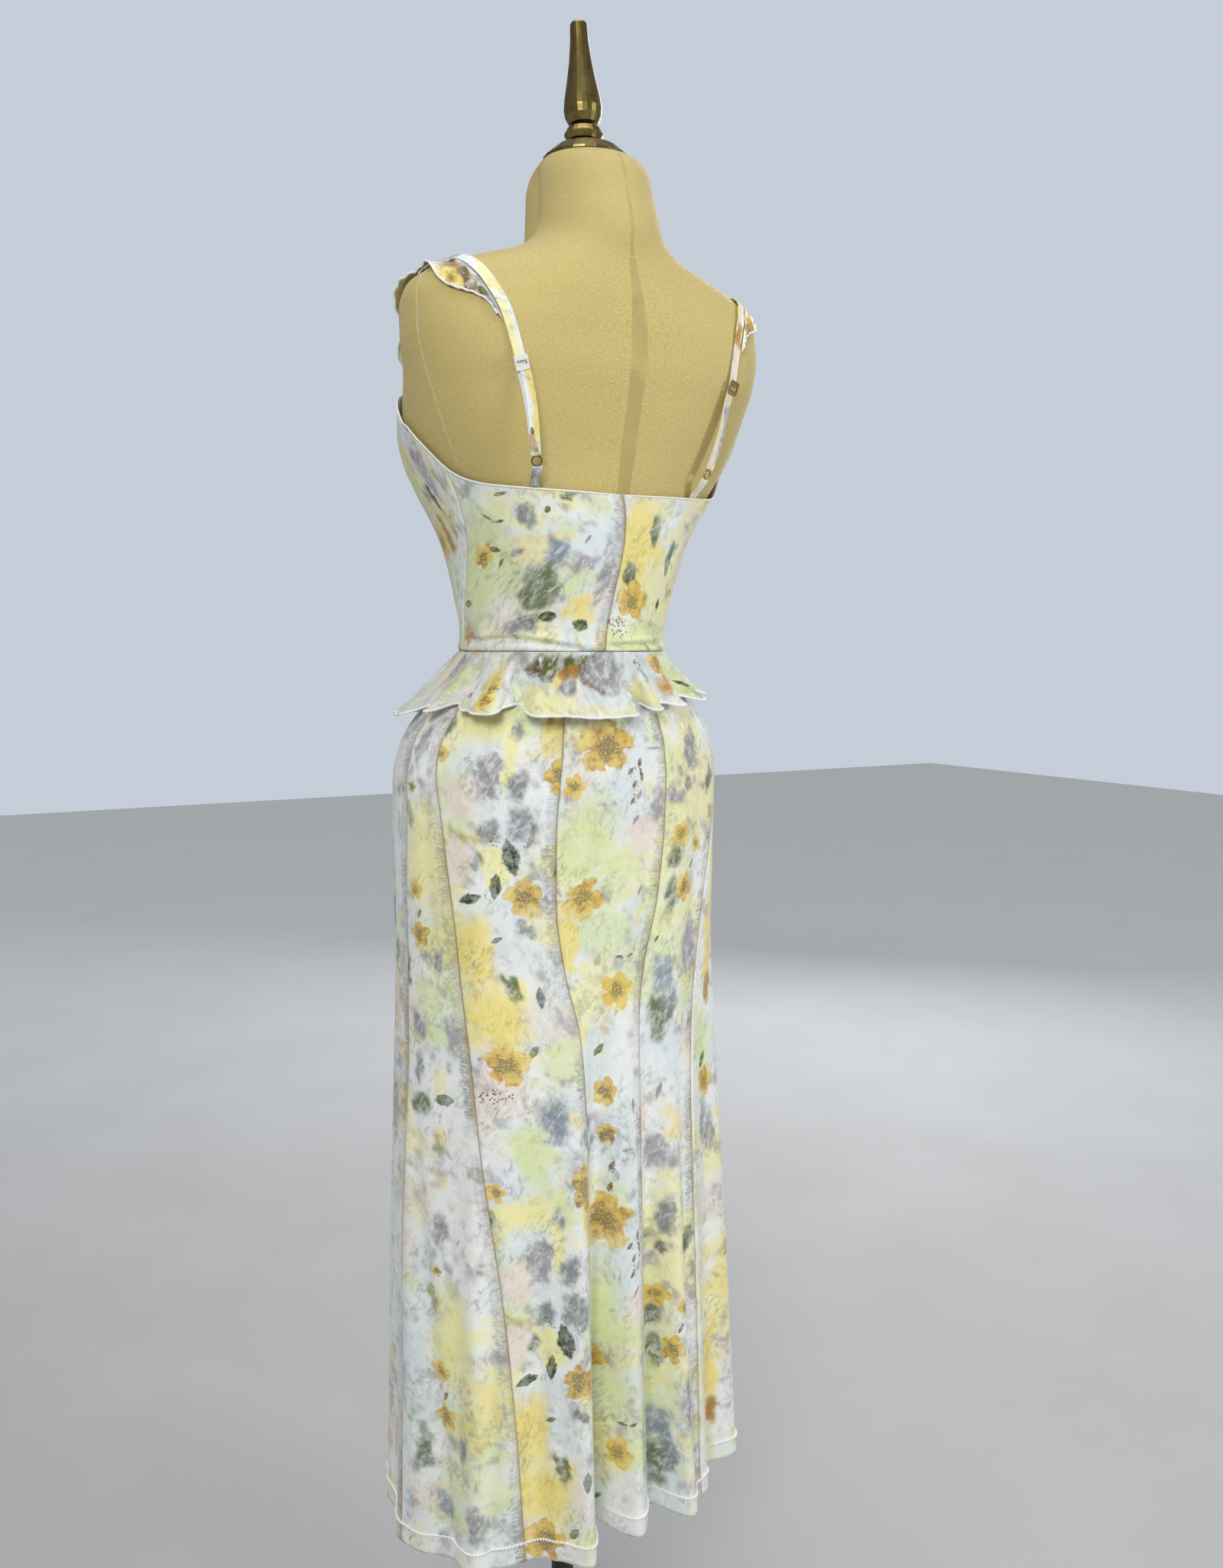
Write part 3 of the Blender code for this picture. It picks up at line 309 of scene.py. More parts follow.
# The waist ruffle's folds, with their places down it as a share of its depth
PEPLUM_CREASES = (
    (15, -0.15, 2, -1.25, 0.0032, -0.0034), (20, -0.10, 10, -0.95, 0.0050, 0.0022),
    (70, -0.20, 53, -1.20, 0.0036, -0.0034), (76, -0.20, 64, -1.20, 0.0050, 0.0022),
    (45, -0.25, 31, -1.30, 0.0040, -0.0036), (52, -0.30, 42, -1.40, 0.0050, 0.0028),
    (-3, -0.25, -14, -1.30, 0.0032, -0.0036), (2, -0.30, -7, -1.30, 0.0050, 0.0026),
    (-26, -0.20, -16, -1.30, 0.0032, -0.0034), (-20, -0.05, -22, -0.60, 0.0036, -0.0020),
    (24, -0.02, 20, -0.50, 0.0036, -0.0020), (34, 0.04, 30, -0.60, 0.0040, -0.0022),
    (58, 0.04, 50, -0.55, 0.0040, -0.0022), (8, 0.04, 4, -0.45, 0.0034, -0.0018),
    (84, -0.05, 76, -1.10, 0.0046, -0.0028), (-38, 0.00, -36, -1.20, 0.0038, -0.0030),
    (-50, 0.00, -52, -1.20, 0.0040, -0.0026), (-66, 0.00, -70, -1.20, 0.0044, -0.0028),
    (-80, 0.04, -84, -0.80, 0.0040, -0.0022), (98, 0.04, 103, -1.20, 0.0042, -0.0030),
    (112, 0.00, 116, -0.70, 0.0040, 0.0020), (124, -0.05, 126, -1.30, 0.0040, -0.0032),
    (141, 0.04, 147, -1.20, 0.0046, -0.0028), (156, 0.00, 159, -0.60, 0.0036, -0.0020),
    (172, -0.10, 169, -1.30, 0.0040, -0.0032), (186, 0.04, 181, -0.80, 0.0044, 0.0022),
    (196, 0.00, 191, -1.25, 0.0040, -0.0030), (214, 0.04, 213, -1.20, 0.0044, -0.0028),
    (228, -0.10, 224, -0.80, 0.0038, -0.0022), (240, 0.00, 236, -1.30, 0.0040, -0.0032),
    (254, 0.04, 257, -1.20, 0.0044, -0.0026),
)

# ---------------------------------------------------------------- the print
# Colours as red, green and blue from 0 to 255
TINTS = {
    "ground": (243, 245, 242), "cool": (229, 237, 239), "lemon": (247, 242, 178),
    "lime": (228, 237, 184), "sun": (246, 229, 136), "blush": (241, 229, 219),
    "lilac": (172, 167, 173), "grey": (148, 153, 157), "blue": (148, 160, 176),
    "green": (104, 118, 76), "olive": (106, 108, 48), "dark": (58, 72, 46),
    "teal": (106, 130, 122), "brown": (118, 86, 50), "ochre": (184, 134, 30),
    "orange": (198, 140, 36), "yellow": (230, 192, 76), "cream": (238, 226, 196),
    "line": (176, 172, 160),
}
# Motifs on each panel. Their places were read from the photo and turned into places on the
# panel, and their shapes are drawn by formula. Columns: kind, u across from the panel's middle line
# towards the wearer's left, v below the waist seam, length and breadth, all four in millimetres,
# then turn in degrees and tint. The gores' charts repeat down the cloth every REPEAT metres. On
# the straps and shoulder ruffles v runs along them from the back, and on the ruffles u outwards.
REPEAT = 0.490
SIDE_BACK_LEFT = (
    ("blot", 3, 88, 17, 36, 0, "lilac"), ("flower", 11, 134, 12, 12, 0, "olive"),
    ("blot", 16, 162, 27, 15, 80, "green"), ("flower", 14, 238, 22, 22, 10, "yellow"),
    ("flower", 11, 284, 27, 28, 30, "ochre"), ("leaf", 10, 262, 13, 5, 60, "olive"),
    ("blot", 34, 322, 15, 35, 0, "green"), ("blot", -11, 310, 10, 29, 0, "grey"),
    ("blot", 17, 378, 17, 34, 0, "blue"), ("blot", 21, 416, 15, 31, 0, "grey"),
    ("blot", 20, 454, 23, 23, 0, "green"), ("leaf", -10, 448, 25, 14, 5, "green"),
    ("blot", -25, 380, 23, 38, 0, "lilac"), ("blot", 0, 200, 60, 110, 0, "lemon"),
)
BACK_LEFT = (
    ("blot", 21, 70, 60, 30, 0, "lemon"), ("flower", 60, 100, 19, 22, 0, "yellow"),
    ("blot", 56, 72, 12, 17, 0, "green"), ("blot", -15, 78, 19, 17, 0, "grey"),
    ("patch", 10, 120, 28, 50, 0, "lilac"), ("blot", -12, 108, 14, 57, 0, "lemon"),
    ("blot", -25, 130, 19, 31, -20, "grey"), ("blot", 39, 140, 44, 50, 0, "blush"),
    ("blot", 10, 174, 24, 20, -20, "grey"), ("dots", 6, 182, 14, 10, 0, "brown"),
    ("blot", -25, 166, 31, 29, 0, "grey"), ("flower", -58, 174, 18, 18, 0, "line"),
    ("patch", 7, 208, 29, 36, 0, "lemon"), ("leaf", -10, 202, 41, 20, 100, "dark"),
    ("leaf", 7, 230, 29, 13, 80, "dark"), ("leaf", -29, 188, 13, 5, 50, "grey"),
    ("blot", 23, 204, 14, 19, 0, "green"), ("blot", 43, 204, 30, 43, 0, "blush"),
    ("leaf", 33, 242, 26, 12, 15, "dark"), ("flower", -21, 242, 40, 38, 20, "ochre"),
    ("leaf", -55, 216, 17, 5, 60, "olive"), ("blot", -19, 272, 19, 14, 0, "grey"),
    ("leaf", 11, 284, 14, 6, 20, "olive"), ("blot", 32, 296, 46, 92, 0, "sun"),
    ("patch", 1, 332, 15, 27, 0, "green"), ("leaf", -24, 344, 24, 10, 85, "teal"),
    ("blot", -54, 84, 30, 36, 0, "sun"), ("flower", -63, 120, 41, 36, 40, "ochre"),
    ("blot", 29, 362, 74, 60, 0, "sun"), ("flower", 24, 410, 50, 48, 10, "orange"),
    ("leaf", -7, 398, 17, 9, 50, "green"), ("dots", 39, 440, 45, 16, 0, "brown"),
    ("blot", -21, 470, 26, 41, 0, "blue"), ("blot", 6, 500, 45, 64, 0, "lime"),
    ("flower", 47, 536, 21, 22, 0, "yellow"), ("flower", -43, 538, 30, 50, 0, "brown"),
)
BACK_CENTRE = (
    ("blot", 32, 192, 83, 100, 0, "lime"), ("flower", 12, 94, 62, 56, 15, "ochre"),
    ("flower", 48, 132, 26, 26, 0, "yellow"), ("leaf", -26, 112, 12, 5, 80, "brown"),
    ("leaf", -15, 120, 11, 5, 50, "brown"), ("leaf", -29, 126, 12, 5, 100, "brown"),
    ("leaf", -20, 134, 10, 5, 70, "brown"), ("leaf", -28, 144, 13, 5, 80, "lilac"),
    ("leaf", -19, 150, 12, 4, 60, "brown"), ("leaf", -43, 98, 17, 4, 0, "grey"),
    ("blot", -50, 158, 14, 40, 0, "lilac"), ("blot", -33, 186, 37, 44, 0, "blush"),
    ("flower", 31, 246, 43, 44, -10, "ochre"), ("blot", 44, 288, 28, 63, 0, "sun"),
    ("leaf", -34, 274, 24, 11, 75, "cream"), ("leaf", -35, 244, 15, 5, 60, "grey"),
    ("leaf", -48, 304, 12, 5, 40, "grey"), ("leaf", -13, 310, 9, 4, 0, "brown"),
    ("leaf", -26, 310, 10, 4, 20, "brown"), ("flower", -10, 344, 37, 37, 0, "yellow"),
    ("leaf", -24, 170, 15, 5, 50, "grey"), ("leaf", 14, 404, 18, 8, 45, "olive"),
    ("flower", 9, 448, 26, 30, 0, "orange"), ("flower", 9, 492, 24, 24, 20, "brown"),
    ("leaf", 5, 526, 14, 6, 60, "brown"), ("leaf", -1, 536, 13, 6, 100, "lilac"),
    ("leaf", 7, 548, 14, 6, 70, "brown"), ("leaf", -13, 510, 15, 4, 0, "grey"),
    ("leaf", -21, 466, 19, 5, 90, "grey"), ("blot", 20, 420, 30, 90, 0, "cool"),
)
BACK_RIGHT = (
    ("blot", 9, 102, 28, 38, 0, "grey"), ("blot", -27, 138, 16, 29, 0, "green"),
    ("blot", 17, 136, 14, 12, 0, "brown"), ("blot", 36, 150, 28, 18, 20, "lilac"),
    ("flower", 22, 190, 32, 26, 0, "yellow"), ("flower", -11, 204, 17, 23, 40, "yellow"),
    ("blot", 24, 214, 23, 33, 0, "green"), ("flower", 4, 248, 28, 33, 0, "ochre"),
    ("leaf", -6, 224, 14, 5, 60, "olive"), ("blot", 24, 258, 15, 38, 0, "green"),
    ("blot", -23, 308, 29, 58, 0, "lilac"), ("leaf", 33, 298, 10, 4, 60, "olive"),
    ("blot", 19, 336, 36, 38, 0, "blue"), ("blot", 18, 378, 35, 43, 0, "green"),
    ("blot", 8, 364, 24, 24, 0, "grey"), ("leaf", 15, 458, 24, 6, 75, "grey"),
    ("blot", 19, 526, 28, 36, 0, "lilac"), ("blot", 31, 480, 14, 47, 0, "blush"),
)
SIDE_BACK_RIGHT = (
    ("blot", 27, 320, 18, 134, 0, "sun"), ("blot", 25, 368, 14, 32, 0, "ochre"),
    ("flower", 30, 470, 30, 34, 0, "orange"), ("leaf", 34, 446, 22, 11, 60, "dark"),
    ("blot", 34, 440, 25, 100, 0, "lime"), ("blot", 26, 526, 20, 46, 0, "grey"),
    ("flower", -10, 180, 30, 30, 0, "ochre"), ("blot", -20, 280, 30, 60, 0, "blush"),
)
BODICE_BACK_LEFT = (
    ("blot", 64, -84, 74, 118, 0, "lime"), ("leaf", 55, -128, 14, 3, -30, "brown"),
    ("leaf", 42, -124, 12, 3, 10, "brown"), ("flower", 71, -108, 11, 11, 0, "line"),
    ("flower", 60, -92, 20, 24, 0, "ochre"), ("leaf", 49, -98, 17, 6, -10, "brown"),
    ("leaf", 40, -86, 10, 5, 70, "olive"), ("blot", 13, -130, 22, 26, 0, "grey"),
    ("leaf", -6, -134, 10, 6, 40, "green"), ("blot", -15, -94, 20, 34, 15, "blue"),
    ("blot", 23, -96, 14, 12, 0, "grey"), ("blot", -3, -66, 35, 44, 0, "green"),
    ("leaf", -44, -108, 12, 4, 50, "grey"), ("leaf", -34, -64, 19, 12, 80, "lime"),
    ("blot", -45, -82, 23, 13, 20, "lilac"), ("blot", -55, -42, 40, 30, 0, "sun"),
    ("leaf", -21, -34, 21, 12, 0, "dark"), ("leaf", -56, -26, 20, 14, -20, "dark"),
    ("blot", -3, -32, 23, 15, 10, "brown"), ("leaf", 75, -48, 14, 9, -10, "olive"),
    ("blot", 73, -12, 22, 24, 0, "ochre"), ("blot", -69, -80, 14, 59, 0, "lilac"),
    ("leaf", 36, -148, 18, 4, 10, "olive"), ("blot", 5, -22, 46, 14, 10, "grey"),
    ("blot", -31, -148, 20, 6, 0, "green"), ("band", 30, -5, 90, 15, 0, "ground"),
    ("band", -26, -3, 70, 10, -4, "ground"),
)
BODICE_BACK_RIGHT = (
    ("blot", 39, -102, 38, 97, 0, "sun"), ("blot", 16, -122, 13, 28, 0, "green"),
    ("blot", 40, -76, 12, 23, 0, "olive"), ("leaf", -11, -94, 41, 11, 80, "teal"),
    ("flower", 38, -50, 38, 38, 10, "orange"), ("dots", 57, -24, 24, 24, 0, "brown"),
    ("leaf", 0, -48, 13, 7, 80, "dark"), ("blot", 6, -24, 27, 14, 0, "lime"),
    ("blot", -40, -100, 30, 60, 0, "blush"),
)
BODICE_FRONT = (
    ("blot", 10, -70, 80, 70, 0, "lemon"), ("flower", 30, -60, 42, 40, 10, "ochre"),
    ("flower", -60, -110, 36, 36, 30, "yellow"), ("leaf", -20, -96, 34, 14, 60, "dark"),
    ("blot", -20, -30, 40, 30, 0, "grey"), ("blot", 70, -120, 30, 60, 10, "lilac"),
    ("leaf", 98, -152, 32, 10, 80, "dark"), ("leaf", -98, -152, 32, 10, 100, "dark"),
    ("blot", -86, -120, 12, 39, 0, "ochre"), ("blot", -106, -176, 20, 46, 10, "lilac"),
    ("dots", 50, -22, 24, 20, 0, "brown"), ("leaf", 4, -18, 18, 6, 20, "olive"),
)
PEPLUM_PRINT = (
    ("blot", 103, 36, 16, 46, 10, "sun"), ("flower", 100, 46, 14, 20, 0, "ochre"),
    ("flower", 98, 33, 10, 16, 0, "brown"), ("blot", 176, 17, 20, 26, 30, "lilac"),
    ("leaf", 121, 43, 12, 8, 60, "brown"), ("blot", 58, 10, 70, 24, 0, "green"),
    ("blot", 52, 12, 44, 18, 10, "olive"), ("blot", 30, 12, 34, 16, -10, "dark"),
    ("blot", 66, 16, 18, 16, 40, "brown"), ("blot", 12, 26, 14, 26, 40, "brown"),
    ("blot", 48, 11, 40, 18, 0, "olive"), ("blot", 24, 7, 30, 10, 0, "olive"),
    ("blot", 44, 24, 16, 14, 30, "sun"), ("blot", 35, 20, 24, 19, 60, "ochre"),
    ("blot", 36, 30, 20, 20, 60, "grey"), ("blot", 59, 44, 44, 24, 0, "lemon"),
    ("blot", 7, 18, 30, 20, 0, "lilac"), ("dots", -32, 9, 14, 12, 0, "brown"),
    ("flower", -60, 13, 28, 26, 20, "ochre"), ("blot", -57, 33, 14, 30, -30, "orange"),
    ("leaf", -87, 38, 16, 7, -20, "dark"), ("blot", -96, 48, 22, 22, 0, "grey"),
    ("blot", -26, 41, 20, 28, 0, "lemon"), ("blot", 146, 30, 30, 30, 0, "lime"),
)
RUFFLE_PRINT_LEFT = (
    ("band", 4, 60, 12, 150, 0, "lilac"), ("leaf", 5, 34, 16, 7, 75, "olive"),
    ("leaf", 6, 64, 14, 7, 100, "olive"), ("leaf", 4, 88, 13, 6, 70, "dark"),
    ("blot", 14, 60, 12, 90, 0, "ochre"), ("blot", 14, 50, 9, 40, 0, "brown"),
    ("blot", 24, 70, 14, 80, 0, "sun"), ("flower", 22, 80, 17, 22, 0, "ochre"),
    ("blot", 26, 52, 10, 18, 0, "brown"), ("blot", 14, 165, 60, 120, 0, "ground"),
    ("blot", 14, 190, 30, 40, 0, "lemon"), ("flower", 14, 140, 18, 18, 0, "yellow"),
)
RUFFLE_PRINT_RIGHT = (
    ("blot", 12, 50, 40, 120, 0, "sun"), ("blot", 8, 40, 14, 60, 0, "ochre"),
    ("blot", 14, 30, 10, 24, 0, "olive"), ("blot", 10, 70, 12, 30, 0, "olive"),
    ("flower", 16, 56, 22, 26, 0, "ochre"), ("leaf", 6, 90, 16, 7, 70, "dark"),
    ("blot", 14, 150, 50, 70, 0, "lemon"), ("blot", 10, 200, 24, 30, 0, "grey"),
)
STRAP_PRINT_LEFT = (
    ("band", 0, 6, 12, 16, 0, "green"), ("band", 0, 18, 12, 14, 0, "grey"),
    ("band", -3, 84, 7, 70, 0, "sun"), ("band", 3, 84, 6, 70, 0, "ground"),
    ("blot", 1, 44, 10, 18, 0, "orange"), ("blot", -1, 38, 6, 10, 0, "brown"),
    ("leaf", 2, 56, 9, 4, 80, "brown"), ("band", 0, 180, 14, 140, 0, "ground"),
    ("band", 2, 150, 6, 60, 0, "lemon"), ("blot", -2, 200, 8, 40, 0, "lemon"),
    ("blot", 0, 270, 14, 40, 0, "olive"),
)
STRAP_PRINT_RIGHT = (
    ("band", 0, 12, 14, 30, 0, "blush"), ("band", 0, 75, 14, 94, 0, "cream"),
    ("band", 3, 70, 5, 60, 0, "lilac"), ("blot", -2, 50, 6, 20, 0, "blush"),
    ("blot", -2, 95, 6, 24, 0, "lilac"), ("band", 0, 140, 14, 46, 0, "blush"),
    ("blot", 1, 170, 10, 30, 0, "ochre"), ("blot", -3, 210, 10, 40, 0, "sun"),
)


# ---------------------------------------------------------------- forms shared with the solids
def column(names, rows, wanted):
    """One named column of a table, as an array."""
    return np.array([row[names.index(wanted)] for row in rows], float)


def smooth(x, xs, ys):
    """Monotone cubic curve through the points (xs, ys), read at x. xs rise."""
    x = np.asarray(x, float)
    steps, rises = np.diff(xs), np.diff(ys)
    slopes = rises / steps
    tangents = np.zeros(len(xs))
    product = slopes[:-1] * slopes[1:]
    mean = 2 * product / np.where(product > 0, slopes[:-1] + slopes[1:], 1)
    tangents[1:-1] = np.where(product > 0, mean, 0)
    tangents[0], tangents[-1] = slopes[0], slopes[-1]
    i = np.clip(np.searchsorted(xs, x) - 1, 0, len(xs) - 2)
    u = np.clip((x - xs[i]) / steps[i], 0, 1)
    held = ys[i] + rises[i] * u * u * (3 - 2 * u)
    return held + steps[i] * (tangents[i] * u * (1 - u) ** 2 - tangents[i + 1] * u * u * (1 - u))


def read(names, rows, wanted, key):
    """A column of a table as a smooth function of its first column."""
    keys = column(names, rows, names[0])
    values = column(names, rows, wanted)
    order = np.argsort(keys)
    return smooth(key, keys[order], values[order])


def eased(angle, rows):
    """Waves: ridges and hollows at the table's angles, joined by cosine slopes."""
    angle = (np.asarray(angle, float) + 180) % 360 - 180
    keys = column(FLUTE, rows, "angle")
    values = column(FLUTE, rows, "out")
    i = np.clip(np.searchsorted(keys, angle) - 1, 0, len(keys) - 2)
    u = (angle - keys[i]) / (keys[i + 1] - keys[i])
    return values[i] + (values[i + 1] - values[i]) * (0.5 - 0.5 * np.cos(np.pi * u))


def step(value, low, high):
    """0 at low, 1 at high, and a smooth change between, held outside. low may be above high."""
    u = np.clip((value - low) / (high - low), 0, 1)
    return u * u * (3 - 2 * u)


def section(rows, angle, height):
    """A point of a superellipse section, with s and c the angle's sine and cosine:

    x = width sign(s) |s|^(2/n) and y = mid + reach sign(c) |c|^(2/n).
    """
    angle, height = np.broadcast_arrays(np.asarray(angle, float), np.asarray(height, float))
    s, c = np.sin(np.radians(angle)), np.cos(np.radians(angle))
    width, mid, back, front, back_square, front_square = (
        read(SECTION, rows, name, height) for name in SECTION[1:]
    )
    square = np.where(c > 0, back_square, front_square)
    reach = np.where(c > 0, back - mid, mid - front)
    x = width * np.sign(s) * np.abs(s) ** (2 / square)
    y = mid + reach * np.sign(c) * np.abs(c) ** (2 / square)
    return np.stack([x, y, height], -1)


def neck(angle, height):
    """The outline of two overlapping discs, seen from the middle between them."""
    angle, height = np.broadcast_arrays(np.asarray(angle, float), np.asarray(height, float))
    s, c = np.sin(np.radians(angle)), np.cos(np.radians(angle))
    nape, nape_y, throat, throat_y = (read(LOBES, NECK_ROWS, name, height) for name in LOBES[1:])
    mid = (nape_y + throat_y) / 2
    apart = (nape_y - throat_y) / 2
    behind = apart * c + np.sqrt(nape**2 - (apart * s) ** 2)
    before = -apart * c + np.sqrt(throat**2 - (apart * s) ** 2)
    reach = (behind**LOBE_BLEND + before**LOBE_BLEND) ** (1 / LOBE_BLEND)
    return np.stack([reach * s, mid + reach * c, height], -1)


def form_face(angle, height):
    """A point of the dress form: its section, turning into the neck's above the shoulders."""
    body = section(FORM_ROWS, angle, height)
    share = step(np.asarray(height, float), NECK_FROM, NECK_FULL)[..., None]
    return body + (neck(angle, height) - body) * share


def outward(face, angle, height):
    """Unit normal of a face, from small steps along the angle and the height."""
    around = face(angle + 0.5, height) - face(angle - 0.5, height)
    up = face(angle, height + 0.001) - face(angle, height - 0.001)
    normal = np.cross(up, around)
    return normal / np.linalg.norm(normal, axis=-1, keepdims=True)


def level_outward(face, angle, height):
    """The outward normal with its rise taken out, so that an offset keeps its height."""
    normal = outward(face, angle, height)
    normal[..., 2] = 0
    return normal / np.linalg.norm(normal, axis=-1, keepdims=True)


def bodice_face(angle, height):
    """The bodice: EASE off the form, measured square to it, at the same height."""
    normal = outward(form_face, angle, height)
    level = np.linalg.norm(normal[..., :2], axis=-1, keepdims=True)
    across = normal * np.array([1, 1, 0]) / level
    return form_face(angle, height) + EASE / np.maximum(level, STEEPEST) * across


def plain_skirt(angle, height):
    """The skirt before its flutes."""
    return section(SKIRT_ROWS, angle, height)


def skirt_face(angle, height):
    """The skirt: flutes grow from below the hips to the hem."""
    growth = np.clip((FLUTES_FROM - height) / (SKIRT_LENGTH + FLUTES_FROM), 0, 1) ** FLUTE_GROWTH
    out = eased(angle, SKIRT_FLUTES) * growth
    return plain_skirt(angle, height) + out[..., None] * level_outward(plain_skirt, angle, height)


def peplum_face(angle, rise):
    """The waist ruffle: rise runs from -1 at its hem to 0 at the seam."""
    down = -rise
    wave = eased(angle, PEPLUM_WAVES)
    drop = read(PEPLUM_HEM, PEPLUM_HEM_ROWS, "drop", (np.asarray(angle, float) + 180) % 360 - 180)
    height = -SEAM_GAP - down * (drop - PEPLUM_LIFT * (0.5 - 0.5 * wave) * down)
    reach = np.maximum(down, 0) ** PEPLUM_FLARE
    away = CLOTH + SEAM_GAP + PEPLUM_STANDOFF * down + WAVE_HEIGHT * wave * reach
    away = away + GATHER * (1 + wave) * (1 - down)
    return plain_skirt(angle, height) + away[..., None] * level_outward(plain_skirt, angle, height)


def seam_angle(name, height):
    """Angle of one skirt seam at a height."""
    return read(SKIRT_SEAMS, SEAM_ROWS, name, height)


def bodice_seam(seam, height):
    """Angle of one bodice seam at a height: a column of the table, if any, and a turn to add."""
    wanted, turn = seam
    if wanted is None:
        return turn + 0 * height
    return turn + read(BODICE_SEAMS, BODICE_SEAM_ROWS, wanted, height)


def top_edge(angle):
    """Height of the bodice's top edge at an angle, alike on both sides, from just below 0 to 360."""
    return read(TOP_EDGE, TOP_EDGE_ROWS, "height", np.abs(180 - np.abs(angle - 180)))


def bell(x, width):
    """A bell of height 1 about x = 0: exp(-(x / width)^2)."""
    return np.exp(-((x / width) ** 2))


def distances_along(path):
    """Distance along a path at each of its points."""
    return np.concatenate([[0], np.cumsum(np.linalg.norm(np.diff(path, axis=0), axis=1))])


def at_distances(distances, lengths, values):
    """Values given along a path, three to a point, read at distances along it."""
    return np.stack([np.interp(distances, lengths, values[:, k]) for k in range(3)], -1)


def gap_angle(face, angle, height):
    """The angle that half a seam's gap takes up at a point of a face."""
    one_degree = np.linalg.norm(face(angle + 0.5, height) - face(angle - 0.5, height), axis=-1)
    return 0.5 * SEAM_GAP / one_degree


def along_strap(side, distances, lift=STRAP_LIFT):
    """Points, directions and outward normals of the strap's middle line at distances along it."""
    heights = column(STRAP_LINE, STRAP_ROWS, "height")
    across = column(STRAP_LINE, STRAP_ROWS, "left" if side > 0 else "right")
    behind = column(STRAP_LINE, STRAP_ROWS, "side")
    bridge = column(STRAP_LINE, STRAP_ROWS, "bridge")
    widths = read(SECTION, FORM_ROWS, "width", heights)
    squares = np.where(behind > 0, read(SECTION, FORM_ROWS, "back_square", heights),
                       read(SECTION, FORM_ROWS, "front_square", heights))
    angles = np.degrees(np.arcsin(np.clip(across / widths, 0, 1) ** (squares / 2)))
    angles = side * np.where(behind > 0, angles, 180 - angles)
    key = np.arange(len(angles), dtype=float)
    fine = np.linspace(0, len(angles) - 1, STRAP_SAMPLES)
    angles, heights, bridge = (smooth(fine, key, values) for values in (angles, heights, bridge))
    normals = outward(form_face, angles, heights)
    points = form_face(angles, heights) + (lift + bridge)[:, None] * normals
    lengths = distances_along(points)
    distances = np.minimum(distances, lengths[-1])
    found = at_distances(distances, lengths, points)
    facing = unit(at_distances(distances, lengths, normals))
    return found, unit(np.gradient(found, axis=0)), facing, lengths[-1]


# ---------------------------------------------------------------- meshes
def unit(vectors):
    """Vectors of length 1."""
    return vectors / np.maximum(np.linalg.norm(vectors, axis=-1, keepdims=True), 1e-12)


def grid_normals(grid):
    """Outward normals of a grid whose first index runs round the body and second runs up it."""
    return unit(np.cross(np.gradient(grid, axis=1), np.gradient(grid, axis=0)))


def grid_quads(rows, columns, closed=False):
    """Quads of a grid, facing outwards."""
    across = np.arange(rows if closed else rows - 1)
    i, j = np.meshgrid(across, np.arange(columns - 1), indexing="ij")
    here, after = (i * columns + j).ravel(), ((i + 1) % rows * columns + j).ravel()
    return np.stack([here, here + 1, after + 1, after], 1)


def in_scene(name, data):
    """A new object with its data, linked to the scene."""
    made = bpy.data.objects.new(name, data)
    bpy.context.scene.collection.objects.link(made)
    return made


def mesh_piece(name, points, quads, finish, caps=(), fields=None, flat=None):
    """A mesh from whole arrays: points from the waist, quads, caps, point fields and a UV map."""
    mesh = bpy.data.meshes.new(name)
    points = np.asarray(points, float) + np.array([0, 0, WAIST_HEIGHT])
    sizes = np.concatenate([np.full(len(quads), 4), [len(cap) for cap in caps]]).astype(int)
    corners = np.concatenate([np.asarray(quads).ravel(), *map(np.asarray, caps)]).astype(int)
    mesh.vertices.add(len(points))
    mesh.vertices.foreach_set("co", points.ravel())
    mesh.loops.add(len(corners))
    mesh.loops.foreach_set("vertex_index", corners)
    mesh.polygons.add(len(sizes))
    mesh.polygons.foreach_set("loop_start", np.concatenate([[0], np.cumsum(sizes)[:-1]]))
    mesh.polygons.foreach_set("loop_total", sizes)
    mesh.update(calc_edges=True)
    if flat is not None:
        layer = mesh.uv_layers.new(name="cloth")
        layer.data.foreach_set("uv", np.asarray(flat, float)[corners].ravel())
    for key, values in (fields or {}).items():
        is_colour = values.shape[1] == 4
        kind, word = ("FLOAT_COLOR", "color") if is_colour else ("FLOAT_VECTOR", "vector")
        layer = mesh.attributes.new(key, kind, "POINT")
        layer.data.foreach_set(word, values.ravel())
    mesh.shade_smooth()
    mesh.materials.append(finish)
    made = in_scene(name, mesh)
    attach(made, "root")
    return made


def thin_sheet(name, outer, finish, fields, flat, thickness=THIN):
    """A closed thin shell on a grid: outer points, the same moved in along the normals, a rim."""
    rows, columns = outer.shape[:2]
    inner = outer - thickness * grid_normals(outer)
    count = rows * columns
    index = np.arange(count).reshape(rows, columns)
    border = np.concatenate([index[:, 0], index[-1, 1:], index[-2::-1, -1], index[0, -2:0:-1]])
    after = np.roll(border, -1)
    sides = grid_quads(rows, columns)
    rim = np.stack([border, after, after + count, border + count], 1)
    quads = np.concatenate([sides, sides[:, ::-1] + count, rim])
    points = np.concatenate([outer.reshape(-1, 3), inner.reshape(-1, 3)])
    fields = {key: np.concatenate([values, values]) for key, values in fields.items()}
    return mesh_piece(name, points, quads, finish, (), fields, np.concatenate([flat, flat]))


